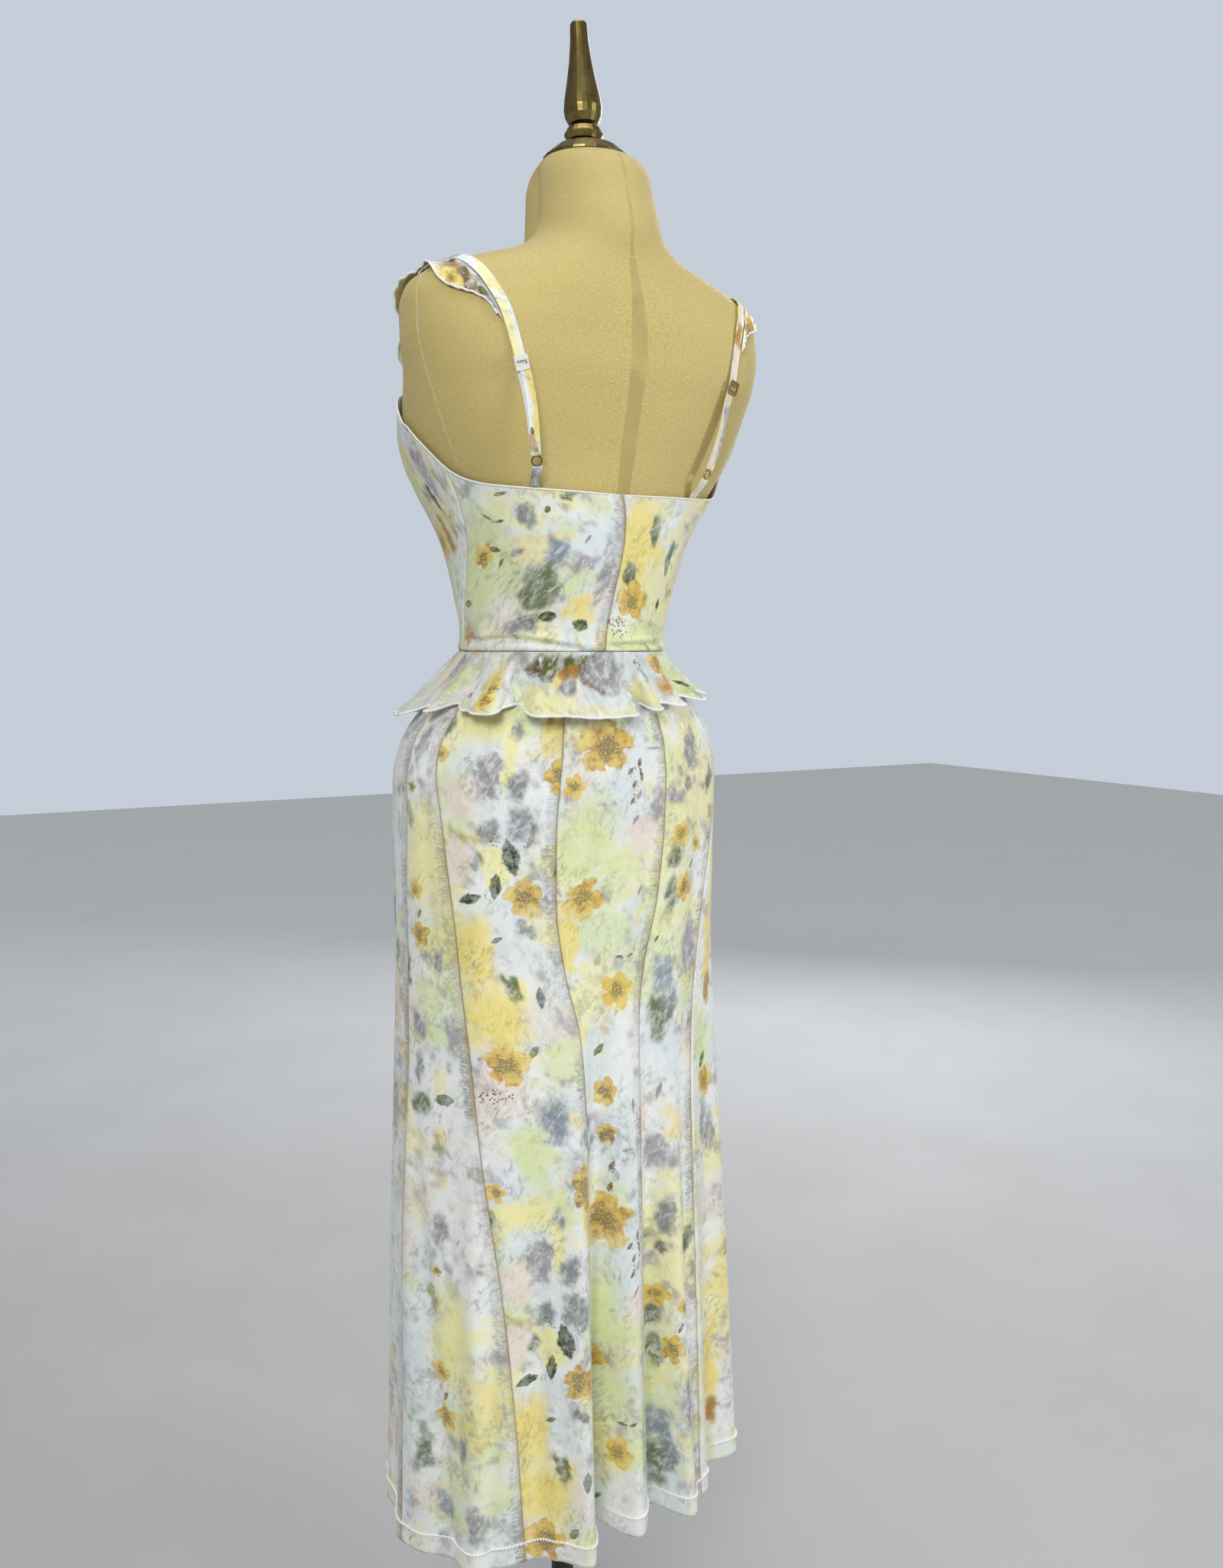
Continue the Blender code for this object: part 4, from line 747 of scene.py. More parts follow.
def round_cord(name, path, radius, finish, sides=7):
    """A tube along a path, closed by flat ends: circles square to the path's direction."""
    ahead = unit(np.gradient(path, axis=0))
    across = unit(np.cross(ahead, np.array([0.0, 0.0, 1.0])))
    over = np.cross(across, ahead)
    turn = np.arange(sides) * 2 * np.pi / sides
    ring = np.cos(turn)[:, None, None] * across[None] + np.sin(turn)[:, None, None] * over[None]
    points = path[None] + ring * radius
    count = len(path)
    quads = grid_quads(sides, count, closed=True)[:, ::-1]
    flat = np.stack([np.repeat(turn * 0.001, count), np.tile(distances_along(path), sides)], 1)
    ends = [[k * count for k in range(sides)], [k * count + count - 1 for k in range(sides)][::-1]]
    return mesh_piece(name, points.reshape(-1, 3), quads, finish, ends, None, flat)


def stitch_row(name, path, normals, finish, pitch=0.0031, length=0.0021, radius=0.00028):
    """Stitches along a path: each a small six-sided bar whose ends dip into the cloth."""
    lengths = distances_along(path)
    starts = np.arange(pitch / 2, lengths[-1] - pitch / 2, pitch)
    shares = np.array([-0.5, -0.32, 0.32, 0.5])
    dips = np.array([-1.0, 0.4, 0.4, -1.0]) * radius
    thick = np.array([0.35, 1.0, 1.0, 0.35]) * radius
    places = starts[:, None] + length * shares[None]
    points = at_distances(places, lengths, path)
    facing = unit(at_distances(places, lengths, normals))
    ahead = unit(points[:, -1:] - points[:, :1]) + 0 * points
    aside = unit(np.cross(ahead, facing))
    sides, rings = 6, len(shares)
    turn = np.arange(sides) * 2 * np.pi / sides
    centre = points + dips[None, :, None] * facing
    ring = (np.cos(turn)[None, :, None, None] * aside[:, None]
            + np.sin(turn)[None, :, None, None] * facing[:, None])
    all_points = centre[:, None] + ring * thick[None, None, :, None]
    offsets = np.arange(len(starts)) * sides * rings
    quads = (grid_quads(sides, rings, closed=True)[None] + offsets[:, None, None]).reshape(-1, 4)
    first = np.arange(sides) * rings
    last = first[::-1] + rings - 1
    caps = [first + o for o in offsets] + [last + o for o in offsets]
    made = mesh_piece(name, all_points.reshape(-1, 3), quads, finish, caps)
    recalculated(made)
    return made


def recalculated(made):
    """Turns a closed piece's faces outwards."""
    work = bmesh.new()
    work.from_mesh(made.data)
    bmesh.ops.recalc_face_normals(work, faces=work.faces)
    work.to_mesh(made.data)
    work.free()


def arc_widths(points):
    """Distance across a grid from its middle column, along its first index."""
    run = np.linalg.norm(np.diff(points, axis=0), axis=-1)
    total = np.concatenate([np.zeros((1, points.shape[1])), np.cumsum(run, 0)])
    return total - total[-1] / 2


# ---------------------------------------------------------------- print fields
# Clouds of colour on the ground: tint, size, where they begin and are full, strength, seed
CLOUDS = (
    ("lemon", 0.075, 0.02, 0.34, 0.80, 11), ("lime", 0.070, 0.14, 0.42, 0.75, 12),
    ("blush", 0.060, 0.16, 0.46, 0.75, 13), ("sun", 0.050, 0.30, 0.52, 0.60, 14),
)
# Broken specks of colour over them: tint, where they begin, strength, seed
SPECKS = (
    ("lilac", 0.16, 0.60, 31), ("grey", 0.26, 0.55, 33), ("green", 0.30, 0.60, 35),
    ("ochre", 0.40, 0.45, 37),
)
# Tints whose washes are broken up and carry more dry brush
HAZY = ("grey", "blue", "lilac", "green", "brown", "olive")
OCTAVES = 4
FADE = 1.8


def lattice(x, y, seed, rows):
    """Value noise from 0 to 1: a hashed number at each lattice point, eased between them.

    It repeats down the cloth after the given number of rows.
    """
    i, j = np.floor(x), np.floor(y)
    fx, fy = x - i, y - j
    fx, fy = fx * fx * (3 - 2 * fx), fy * fy * (3 - 2 * fy)

    def hashed(a, b):
        value = np.sin(a * 127.1 + (b % rows) * 311.7 + seed * 74.7) * 43758.5453
        return value - np.floor(value)

    low = hashed(i, j) * (1 - fx) + hashed(i + 1, j) * fx
    high = hashed(i, j + 1) * (1 - fx) + hashed(i + 1, j + 1) * fx
    return low * (1 - fy) + high * fy


def cloud(u, v, size, seed):
    """Cloudy noise from about -1 to 1: four octaves of value noise, which repeat with the print."""
    rows = max(1, round(REPEAT / size))
    total = 0
    for k in range(OCTAVES):
        x = u / size * 2**k + 0.37 * np.sin(2 * np.pi * v / REPEAT * (k + 1)) + 0.7 * k
        total = total + lattice(x, v / REPEAT * rows * 2**k, seed + k, rows * 2**k) / FADE**k
    return total / sum(1 / FADE**k for k in range(OCTAVES)) * 2 - 1


def linear(tint):
    """A named tint as linear light."""
    value = np.array(TINTS[tint], float) / 255
    return np.where(value <= 0.04045, value / 12.92, ((value + 0.055) / 1.055) ** 2.4)


def placed(u, v, row, shift):
    """A motif's own coordinates at each point, from -1 to 1 over its length and its breadth."""
    u0, v0, long, broad = (size / 1000 for size in row[1:5])
    across, up = -(u - u0), -(v - v0 - shift)
    c, s = np.cos(np.radians(row[5])), np.sin(np.radians(row[5]))
    return (across * c + up * s) / (long / 2), (up * c - across * s) / (broad / 2)


def print_fields(u, v, chart, seed, repeat=REPEAT, moved=0.0, edge=None):
    """Colour fields of the print at points of a panel, from its chart of motifs.

    wash: the ground's colour, and how much dry brush lies on it. bloom and leaf: the nearest
    flower's and leaf's own coordinates and its style, with the tint and its presence. strip: the
    distance from the panel's edge, the place down it, and the strength of the hatched strip there.
    """
    b = v - moved
    wash = linear("ground")
    wash = wash + (linear("cool") - wash) * step(cloud(u, b, 0.055, seed), -0.2, 0.4)[:, None]
    for tint, size, low, high, most, more in CLOUDS:
        shape = cloud(u, b, size, seed + more) + 0.10 * cloud(u, b, 0.010, seed + 9)
        wash = wash + (linear(tint) - wash) * (most * step(shape, low, high))[:, None]
    for tint, low, most, more in SPECKS:
        cover = step(cloud(u, b, 0.030, seed + more), low, low + 0.25)
        cover = cover * step(cloud(u, b, 0.0085, seed + more + 1), -0.15, 0.30)
        wash = wash + (linear(tint) - wash) * (most * cover)[:, None]
    brush = 0.35 + 0.45 * cloud(u, b, 0.030, seed + 5)
    broken = step(cloud(u, b, 0.0075, seed + 2), -0.75, 0.0)
    bend, sway = (0.0120 * cloud(u, b, 0.026, k) + 0.0080 * cloud(u, b, 0.0090, k + 1)
                  for k in (seed + 20, seed + 22))
    layers = {
        word: (np.tile([2.0, 2.0, 0.0], (len(u), 1)), np.zeros((len(u), 4)),
               np.full((2, len(u)), 99.0))
        for word in ("bloom", "leaf")
    }
    for row in chart:
        kind, long, tint = row[0], row[3], row[6]
        swung = 0.12 if kind == "band" else 0.4 + 0.6 * min(1.0, long / 30)
        for shift in (-repeat, 0, repeat) if repeat else (0,):
            if kind in ("blot", "patch", "band"):
                x, y = placed(u + swung * bend, b + swung * sway, row, shift)
                if kind == "blot":
                    cover = step(np.hypot(x, y), 1.30, 0.66 if long < 40 else 0.45)
                else:
                    cover = step(np.maximum(abs(x), abs(y)), 1.04, 0.86)
                hazy = tint in HAZY
                cover = cover * (0.34 + 0.60 * broken if hazy else 0.90)
                wash = wash + (linear(tint) - wash) * cover[:, None]
                brush = brush + ((0.95 if hazy else 0.30) - brush) * cover
                continue
            x, y = placed(u, b, row, shift)
            away = np.hypot(x, y)
            field, tints, nearest = layers["bloom" if kind == "flower" else "leaf"]
            here = away < nearest[0]
            nearest[1] = np.where(here, nearest[0], np.minimum(nearest[1], away))
            nearest[0] = np.where(here, away, nearest[0])
            style = 1.0 if kind == "dots" or tint == "line" else 0.0
            field[here] = np.stack([x, y, 0 * x + style], 1)[here]
            tints[here, :3] = linear(tint)
    fields = {"wash": np.concatenate([wash, np.clip(brush, 0, 1)[:, None]], 1)}
    for word, (field, tints, (first, second)) in layers.items():
        alone = np.maximum(step(second - first, 0.1, 0.5), step(first, 0.9, 0.6))
        tints[:, 3] = step(first, 1.44, 1.2) * alone
        fields[word], fields[word + "_tint"] = field, tints
    beside = 1 + 0 * u if edge is None else edge
    strong = 0.50 + 0.85 * cloud(0 * u + 0.3, b, 0.05, seed + 41)
    fields["strip"] = np.stack([beside, v, np.clip(strong, 0.08, 1)], 1)
    return fields


def creases(angle, height, rows, radius):
    """Soft troughs and ridges: a bell across each crease's line, eased off at its two ends."""
    total = 0 * angle
    for from_angle, from_height, to_angle, to_height, half_width, out in rows:
        line = np.array([np.radians(to_angle - from_angle) * radius, to_height - from_height])
        turned = (angle - (from_angle + to_angle) / 2 + 180) % 360 - 180
        x = np.radians(turned) * radius
        y = height - (from_height + to_height) / 2
        length = np.hypot(*line)
        along = (x * line[0] + y * line[1]) / length**2
        aside = (x * line[1] - y * line[0]) / length
        ends = step(np.abs(along), 0.56, 0.18)
        total = total + out * ends * bell(aside, half_width)
    return total


# ---------------------------------------------------------------- finishes
# Inks of the print's finer marks, as linear red, green, blue and alpha
INKS = {
    "bare": (0.90, 0.92, 0.88, 1), "stroke": (0.250, 0.240, 0.245, 1),
    "moss": (0.250, 0.265, 0.160, 1), "bar": (0.275, 0.250, 0.270, 1),
    "tan": (0.440, 0.325, 0.180, 1), "brown line": (0.300, 0.200, 0.090, 1),
    "vein": (0.50, 0.52, 0.28, 1), "gold": (0.78, 0.560, 0.105, 1),
    "pale gold": (0.88, 0.740, 0.290, 1), "shade": (0.17, 0.085, 0.014, 1),
    "heart": (0.165, 0.110, 0.018, 1), "curl": (0.80, 0.66, 0.26, 1),
}


class Paint:
    """Short ways to lay a material's nodes."""

    def __init__(self, name):
        self.made = bpy.data.materials.new(name)
        self.made.use_nodes = True
        self.tree = self.made.node_tree
        self.shader = self.tree.nodes["Principled BSDF"]

    def feed(self, socket, value):
        """Links a socket, or sets a number or colour on it."""
        if isinstance(value, bpy.types.NodeSocket):
            self.tree.links.new(value, socket)
        else:
            socket.default_value = value

    def node(self, kind, **settings):
        """A node with its settings."""
        made = self.tree.nodes.new(kind)
        for key, value in settings.items():
            setattr(made, key, value)
        return made

    def math(self, kind, *values):
        """A math node's result."""
        made = self.node("ShaderNodeMath", operation=kind)
        for socket, value in zip(made.inputs, values):
            self.feed(socket, value)
        return made.outputs[0]

    def times(self, one, two):
        """Two values multiplied."""
        return self.math("MULTIPLY", one, two)

    def scaled(self, one, two, more):
        """Two values multiplied, and a third added."""
        return self.math("MULTIPLY_ADD", one, two, more)

    def less(self, one, two):
        """One value less another."""
        return self.math("SUBTRACT", one, two)

    def waves(self, u, v, rate):
        """Threads both ways: sin(rate u) + sin(rate v)."""
        return self.math("ADD", self.math("SINE", self.times(u, rate)),
                         self.math("SINE", self.times(v, rate)))

    def squares(self, x, y):
        """x x + y y."""
        return self.math("ADD", self.times(x, x), self.times(y, y))

    def between(self, value, low, high, start=0.0, end=1.0):
        """A smooth change from start at low to end at high."""
        made = self.node("ShaderNodeMapRange", interpolation_type="SMOOTHSTEP")
        for socket, given in zip(made.inputs, (value, low, high, start, end)):
            self.feed(socket, given)
        return made.outputs[0]

    def blend(self, share, one, two, kind="MIX"):
        """Two colours mixed."""
        made = self.node("ShaderNodeMix", data_type="RGBA", blend_type=kind)
        self.feed(made.inputs[0], share)
        self.feed(made.inputs[6], one)
        self.feed(made.inputs[7], two)
        return made.outputs[2]

    def noise(self, vector, scale, detail=3.0, rough=0.55, distort=0.0):
        """Cloud noise from 0 to 1."""
        made = self.node("ShaderNodeTexNoise")
        self.feed(made.inputs["Vector"], vector)
        made.inputs["Scale"].default_value = scale
        made.inputs["Detail"].default_value = detail
        made.inputs["Roughness"].default_value = rough
        made.inputs["Distortion"].default_value = distort
        return made.outputs[0]

    def cells(self, vector, scale):
        """Distance to the nearest of scattered points."""
        made = self.node("ShaderNodeTexVoronoi", feature="F1")
        self.feed(made.inputs["Vector"], vector)
        made.inputs["Scale"].default_value = scale
        return made.outputs["Distance"]

    def field(self, name):
        """A point field of the mesh."""
        return self.node("ShaderNodeAttribute", attribute_name=name)

    def parts(self, vector):
        """The three parts of a vector."""
        made = self.node("ShaderNodeSeparateXYZ")
        self.feed(made.inputs[0], vector)
        return made.outputs

    def place(self):
        """The piece's own coordinates, in metres."""
        return self.node("ShaderNodeTexCoord").outputs["Object"]

    def joined(self, x, y, z=0.0):
        """A vector of three parts."""
        made = self.node("ShaderNodeCombineXYZ")
        for socket, value in zip(made.inputs, (x, y, z)):
            self.feed(socket, value)
        return made.outputs[0]

    def flat_map(self):
        """The cloth's own flat coordinates, in metres."""
        return self.node("ShaderNodeUVMap", uv_map="cloth").outputs[0]

    def bump(self, height, distance, strength=1.0, after=None):
        """A bump from a height field."""
        made = self.node("ShaderNodeBump")
        made.inputs["Strength"].default_value = strength
        made.inputs["Distance"].default_value = distance
        self.feed(made.inputs["Height"], height)
        if after is not None:
            self.feed(made.inputs["Normal"], after)
        return made.outputs[0]

    def done(self, colour, roughness, metallic=0.0, normal=None, **more):
        """Feeds the surface shader."""
        self.feed(self.shader.inputs["Base Color"], colour)
        self.feed(self.shader.inputs["Roughness"], roughness)
        self.feed(self.shader.inputs["Metallic"], metallic)
        if normal is not None:
            self.feed(self.shader.inputs["Normal"], normal)
        for key, value in more.items():
            self.feed(self.shader.inputs[key.replace("_", " ")], value)
        return self.made


def washes(p, flat, u, v):
    """The ground's washes, with light flecks and pooled colour, and clumps of dry brush on them."""
    wash = p.field("wash")
    thin, colour = wash.outputs["Alpha"], wash.outputs["Color"]
    slanted = p.joined(p.scaled(u, 190, p.times(v, -150)), p.scaled(v, 85, p.times(u, 70)))
    grain = p.noise(slanted, 0.62, 5, 0.72, 0.3)
    flecks = p.times(p.between(grain, 0.46, 0.64), p.between(thin, 0.2, 0.9, 0.20, 0.62))
    pooled = p.between(p.noise(flat, 60, 5, 0.65, 0.6), 0.36, 0.66, 0.0, 0.34)
    colour = p.blend(pooled, p.blend(flecks, colour, INKS["bare"]), colour, "MULTIPLY")
    # short grey-lilac strokes along the cloth's length, then moss ones on the slant
    stroke = p.noise(p.joined(p.times(u, 165), p.times(v, 75)), 1.0, 4, 0.66, 0.7)
    clump = p.between(p.noise(flat, 26, 3, 0.60), 0.46, 0.58)
    amount = p.times(p.between(thin, 0.15, 0.75, 0.15, 1.0), clump)
    dry = p.times(p.between(stroke, 0.46, 0.64), amount)
    colour = p.blend(p.times(dry, 0.66), colour, INKS["stroke"])
    slant = p.noise(slanted, 1.0, 4, 0.66, 0.7)
    other = p.times(p.between(slant, 0.44, 0.70), p.between(p.noise(flat, 21, 4, 0.65), 0.44, 0.64))
    return p.blend(p.times(other, 0.58), colour, INKS["moss"])


def strips(p, colour, u, v):
    """The hatched strip beside each seam: grey bars, then a tan band and a brown line."""
    edge, down, strong = p.parts(p.field("strip").outputs["Vector"])
    torn = p.scaled(p.noise(p.joined(0.0, down), 150, 5, 0.8), 0.022, -0.011)
    beside = p.math("ADD", edge, torn)
    bars = p.noise(p.joined(p.times(u, 120), p.times(v, 400)), 1.0, 5, 0.8)
    hatched = p.times(p.between(beside, 0.0100, 0.0130, 1.0, 0.0), strong)
    colour = p.blend(p.times(hatched, p.between(bars, 0.42, 0.58, 0.15, 1.0)), colour, INKS["bar"])
    tan = p.between(beside, 0.0035, 0.0055, 1.0, 0.0)
    colour = p.blend(p.times(p.times(tan, strong), 0.80), colour, INKS["tan"])
    line = p.between(edge, 0.0008, 0.0018, 1.0, 0.0)
    return p.blend(p.times(line, 0.40), colour, INKS["brown line"])


def leaves(p, colour, flat):
    """Leaves: blotchy lenses, 1 - x x - |y|, or scattered brown dots where the style says so."""
    tint = p.field("leaf_tint")
    x, y, dots = p.parts(p.field("leaf").outputs["Vector"])
    wobble = p.scaled(p.noise(flat, 170, 3, 0.60), 0.9, -0.45)
    lens = p.less(p.less(1.0, p.times(x, x)), p.math("ABSOLUTE", y))
    leaf = p.between(p.math("ADD", lens, wobble), -0.02, 0.30)
    dotted = p.times(p.between(p.cells(flat, 330), 0.30, 0.42, 1.0, 0.0),
                     p.between(p.squares(x, y), 1.0, 0.8))
    shape = p.math("ADD", p.times(leaf, p.less(1.0, dots)), p.times(dotted, dots))
    shape = p.times(shape, p.between(tint.outputs["Alpha"], 0.35, 0.55))
    vein = p.between(p.math("ABSOLUTE", y), 0.02, 0.14, 0.22, 0.0)
    tone = p.between(p.noise(flat, 120, 4, 0.7), 0.34, 0.62, 0.60, 1.0)
    return p.blend(p.times(shape, tone), colour, p.blend(vein, tint.outputs["Color"], INKS["vein"]))


def flowers(p, colour, flat, u, v):
    """Flowers: five uneven round petals, |cos 2.5 angle| in outline, darker where they meet.

    Each has a brown heart of fine gold curls. A flower of the outline style is bare inside.
    """
    tint = p.field("bloom_tint")
    x, y, outline = p.parts(p.field("bloom").outputs["Vector"])
    x = p.math("ADD", x, p.scaled(p.noise(flat, 70, 3, 0.55), 0.8, -0.40))
    y = p.math("ADD", y, p.scaled(p.noise(p.joined(v, u), 70, 3, 0.55), 0.8, -0.40))
    away = p.math("POWER", p.squares(x, y), 0.5)
    turn = p.math("ARCTAN2", y, x)
    lobe = p.math("ABSOLUTE", p.math("COSINE", p.times(turn, 2.5)))
    uneven = p.noise(p.joined(p.scaled(u, 30, p.math("COSINE", turn)),
                              p.scaled(v, 30, p.math("SINE", turn))), 1.1, 1, 0.5)
    reach = p.scaled(p.math("POWER", lobe, 0.55), 0.46, p.scaled(uneven, 0.9, 0.13))
    inner = p.less(reach, p.scaled(p.noise(flat, 720, 3, 0.7), 0.14, p.less(away, 0.07)))
    tone = p.noise(flat, 110, 4, 0.65)
    petals = p.blend(p.between(tone, 0.36, 0.60, 0.10, 1.0), tint.outputs["Color"], INKS["gold"])
    pale = p.times(p.between(uneven, 0.50, 0.66), p.between(away, 0.45, 0.80, 0.0, 0.75))
    petals = p.blend(pale, petals, INKS["pale gold"])
    meeting = p.times(p.between(lobe, 0.34, 0.04), p.between(away, 1.0, 0.4))
    deep = p.math("MAXIMUM", p.times(meeting, 0.66), p.between(tone, 0.44, 0.34, 0.0, 0.55))
    deep = p.math("MAXIMUM", deep, p.between(inner, 0.10, 0.02, 0.0, 0.20))
    petals = p.blend(deep, petals, p.blend(0.60, tint.outputs["Color"], INKS["shade"]))
    ragged = p.scaled(p.noise(flat, 260, 3, 0.7), 0.7, p.less(away, 0.35))
    petals = p.blend(p.times(p.between(ragged, 0.52, 0.26), 0.78), petals, INKS["heart"])
    curls = p.times(p.between(p.noise(flat, 520, 3, 0.7), 0.52, 0.60),
                    p.between(ragged, 0.62, 0.42))
    petals = p.blend(p.times(curls, 0.80), petals, INKS["curl"])
    bare = p.times(outline, p.between(p.math("ABSOLUTE", inner), 0.04, 0.12, 0.0, 0.85))
    shape = p.times(p.between(inner, -0.03, 0.11), p.between(tint.outputs["Alpha"], 0.35, 0.55))
    shape = p.times(shape, p.less(1.0, bare))
    return p.blend(p.times(shape, 0.88), colour, petals)


def printed_cloth():
    """Fine mesh cloth with a watercolour print: washes, dry brush, strips, leaves and flowers."""
    p = Paint("print_cloth")
    flat = p.flat_map()
    u, v, _ = p.parts(flat)
    colour = strips(p, washes(p, flat, u, v), u, v)
    colour = flowers(p, leaves(p, colour, flat), flat, u, v)
    weave = p.bump(p.waves(u, v, 7800), 0.00006, 0.5)
    slack = p.bump(p.noise(flat, 38, 3, 0.5), 0.0016, 0.7, weave)
    return p.done(colour, 0.78, 0.0, slack, Sheen_Weight=0.15, Sheen_Roughness=0.5,
                  Specular_IOR_Level=0.25)


def sewing_thread(name, colour):
    """Matt thread: a slight twist in its tone."""
    p = Paint(name)
    place = p.place()
    tone = p.between(p.noise(place, 1500, 2), 0.3, 0.7)
    mixed = p.blend(tone, tuple(0.80 * c for c in colour) + (1,), tuple(colour) + (1,))
    return p.done(mixed, 0.7, 0.0, p.bump(p.noise(place, 2600, 2), 0.0001, 0.4), Sheen_Weight=0.2)


def woven_cover():
    """The form's cover: plain weave of olive-gold yarn with lighter slubs."""
    p = Paint("form_cover")
    flat = p.flat_map()
    u, v, _ = p.parts(flat)
    warp = p.noise(p.joined(p.times(u, 1700), p.times(v, 420)), 1.0, 2, 0.5)
    weft = p.noise(p.joined(p.times(u, 420), p.times(v, 1700)), 1.0, 2, 0.5)
    yarn = p.math("MAXIMUM", warp, weft)
    speck = p.noise(flat, 1100, 3, 0.7)
    colour = p.blend(p.between(yarn, 0.42, 0.74), (0.500, 0.385, 0.112, 1),
                     (0.690, 0.570, 0.228, 1))
    colour = p.blend(p.between(speck, 0.55, 0.78, 0.0, 0.40), colour, (0.780, 0.690, 0.360, 1))
    worn = p.between(p.noise(flat, 9, 3), 0.35, 0.7, 0.0, 0.25)
    colour = p.blend(worn, colour, (0.640, 0.525, 0.185, 1))
    weave = p.bump(p.waves(u, v, 5200), 0.00010, 0.6)
    return p.done(colour, 0.56, 0.0, p.bump(yarn, 0.0003, 0.5, weave), Sheen_Weight=0.15,
                  Sheen_Roughness=0.45, Specular_IOR_Level=0.55)


def old_brass():
    """Aged brass: satin gold with brown tarnish in clouds and fine turning marks."""
    p = Paint("aged_brass")
    place = p.place()
    _, _, z = p.parts(place)
    cloud_map = p.noise(place, 60, 5, 0.7)
    tarnish = p.between(cloud_map, 0.36, 0.70)
    colour = p.blend(tarnish, (0.285, 0.222, 0.075, 1), (0.150, 0.112, 0.032, 1))
    marks = p.noise(p.joined(0.0, 0.0, z), 2600, 2)
    colour = p.blend(p.between(marks, 0.5, 0.8, 0.0, 0.25), colour, (0.420, 0.340, 0.140, 1))
    rough = p.between(cloud_map, 0.35, 0.7, 0.27, 0.38)
    return p.done(colour, rough, 0.92, p.bump(marks, 0.00012, 0.35))


def coated_metal(name, colour, roughness, metallic, wear):
    """Coated or plated metal: faint mottling and rubbed spots."""
    p = Paint(name)
    place = p.place()
    spots = p.noise(place, 420, 4, 0.6)
    mixed = p.blend(p.between(spots, 0.50, 0.72), tuple(colour) + (1,), tuple(wear) + (1,))
    fine = p.bump(p.noise(place, 2400, 3), 0.00006, 0.5)
    return p.done(mixed, p.between(spots, 0.3, 0.7, roughness, roughness + 0.14), metallic, fine)


CLOTH_FINISH = printed_cloth()
WHITE_THREAD = sewing_thread("white_thread", (0.95, 0.95, 0.92))
FORM_FINISH = woven_cover()
SEAM_FINISH = sewing_thread("form_seam_thread", (0.66, 0.60, 0.36))
BRASS_FINISH = old_brass()
WHITE_FINISH = coated_metal("white_metal", (0.84, 0.84, 0.81), 0.32, 0.0, (0.72, 0.71, 0.67))
BRONZE_FINISH = coated_metal("bronze_metal", (0.105, 0.070, 0.045), 0.34, 0.85, (0.20, 0.14, 0.08))
GOLD_FINISH = coated_metal("gold_brown_metal", (0.36, 0.23, 0.08), 0.30, 0.9, (0.55, 0.38, 0.15))
STEEL_FINISH = coated_metal("dark_steel", (0.035, 0.036, 0.038), 0.42, 0.3, (0.055, 0.056, 0.060))

FINE = 1.0
# Mean radii that turn a crease's degrees into metres round each part, and the cover's map
SKIRT_RADIUS, BODICE_RADIUS, PEPLUM_RADIUS, COVER_RADIUS = 0.15, 0.12, 0.135, 0.14


# ---------------------------------------------------------------- the skirt
HEM_LINE = 0.020 - SKIRT_LENGTH
SKIRT_UP, SKIRT_ACROSS = 260, 44
HEM_RAISED = 0.0006


def dress_skirt():
    """Ten gores on the skirt's face, each with its creases and a shallow dip along its seams."""
    charts = {
        "skirt_side_back_left": (SIDE_BACK_LEFT, 0.0), "skirt_back_left": (BACK_LEFT, 0.0),
        "skirt_back_centre": (BACK_CENTRE, 0.0), "skirt_back_right": (BACK_RIGHT, 0.0),
        "skirt_side_back_right": (SIDE_BACK_RIGHT, 0.0),
        "skirt_side_front_right": (BACK_LEFT, 0.13), "skirt_front_right": (BACK_CENTRE, 0.21),
        "skirt_front_centre": (BACK_LEFT, 0.30), "skirt_front_left": (BACK_CENTRE, 0.08),
        "skirt_side_front_left": (BACK_RIGHT, 0.17),
    }
    seams = SKIRT_SEAMS[1:]
    for k, (name, (chart, moved)) in enumerate(charts.items()):
        heights = np.linspace(-SKIRT_LENGTH, 0, int(SKIRT_UP / FINE) + 1) - SEAM_GAP / 2
        begin = seam_angle(seams[k], heights)
        end = seam_angle(seams[(k + 1) % len(seams)], heights)
        end = np.where(end > begin, end - 360, end)
        end = end + gap_angle(skirt_face, end, heights)
        begin = begin - gap_angle(skirt_face, begin, heights)
        share = np.linspace(0, 1, int(SKIRT_ACROSS / FINE) + 1)[:, None]
        angle = end[None] + (begin - end)[None] * share
        height = heights[None] + 0 * angle
        plain = skirt_face(angle, height)
        u = arc_widths(plain)
        to_seam = np.minimum(u - u[0], u[-1] - u)
        out = creases(angle, height, SKIRT_CREASES, SKIRT_RADIUS) - 0.0004 * bell(to_seam, 0.0016)
        out = out + HEM_RAISED * step(height, HEM_LINE + 0.004, HEM_LINE - 0.002)
        grid = plain + out[..., None] * grid_normals(plain)
        flat = np.stack([u.ravel() + 0.31 * k, -height.ravel()], 1)
        fields = print_fields(u.ravel(), -height.ravel(), chart, 3 + 7 * k, REPEAT, moved,
                              (u - u[0]).ravel())
        folded = 0.45 * step(height, HEM_LINE + 0.001, HEM_LINE - 0.003).ravel()[:, None]
        fields["wash"][:, :3] += (linear("ground") - fields["wash"][:, :3]) * folded
        made = thin_sheet("cloth_" + name, grid, CLOTH_FINISH, fields, flat)
        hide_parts(name)
    angle = np.linspace(-180, 180, 900)
    rise = HEM_LINE + 0 * angle
    normals = outward(skirt_face, angle, rise)
    out = creases(angle, rise, SKIRT_CREASES, SKIRT_RADIUS) + HEM_RAISED
    path = skirt_face(angle, rise) + out[:, None] * normals
    hem = stitch_row("hem_stitches", path, normals, WHITE_THREAD, 0.0031, 0.0029, 0.0014)


dress_skirt()


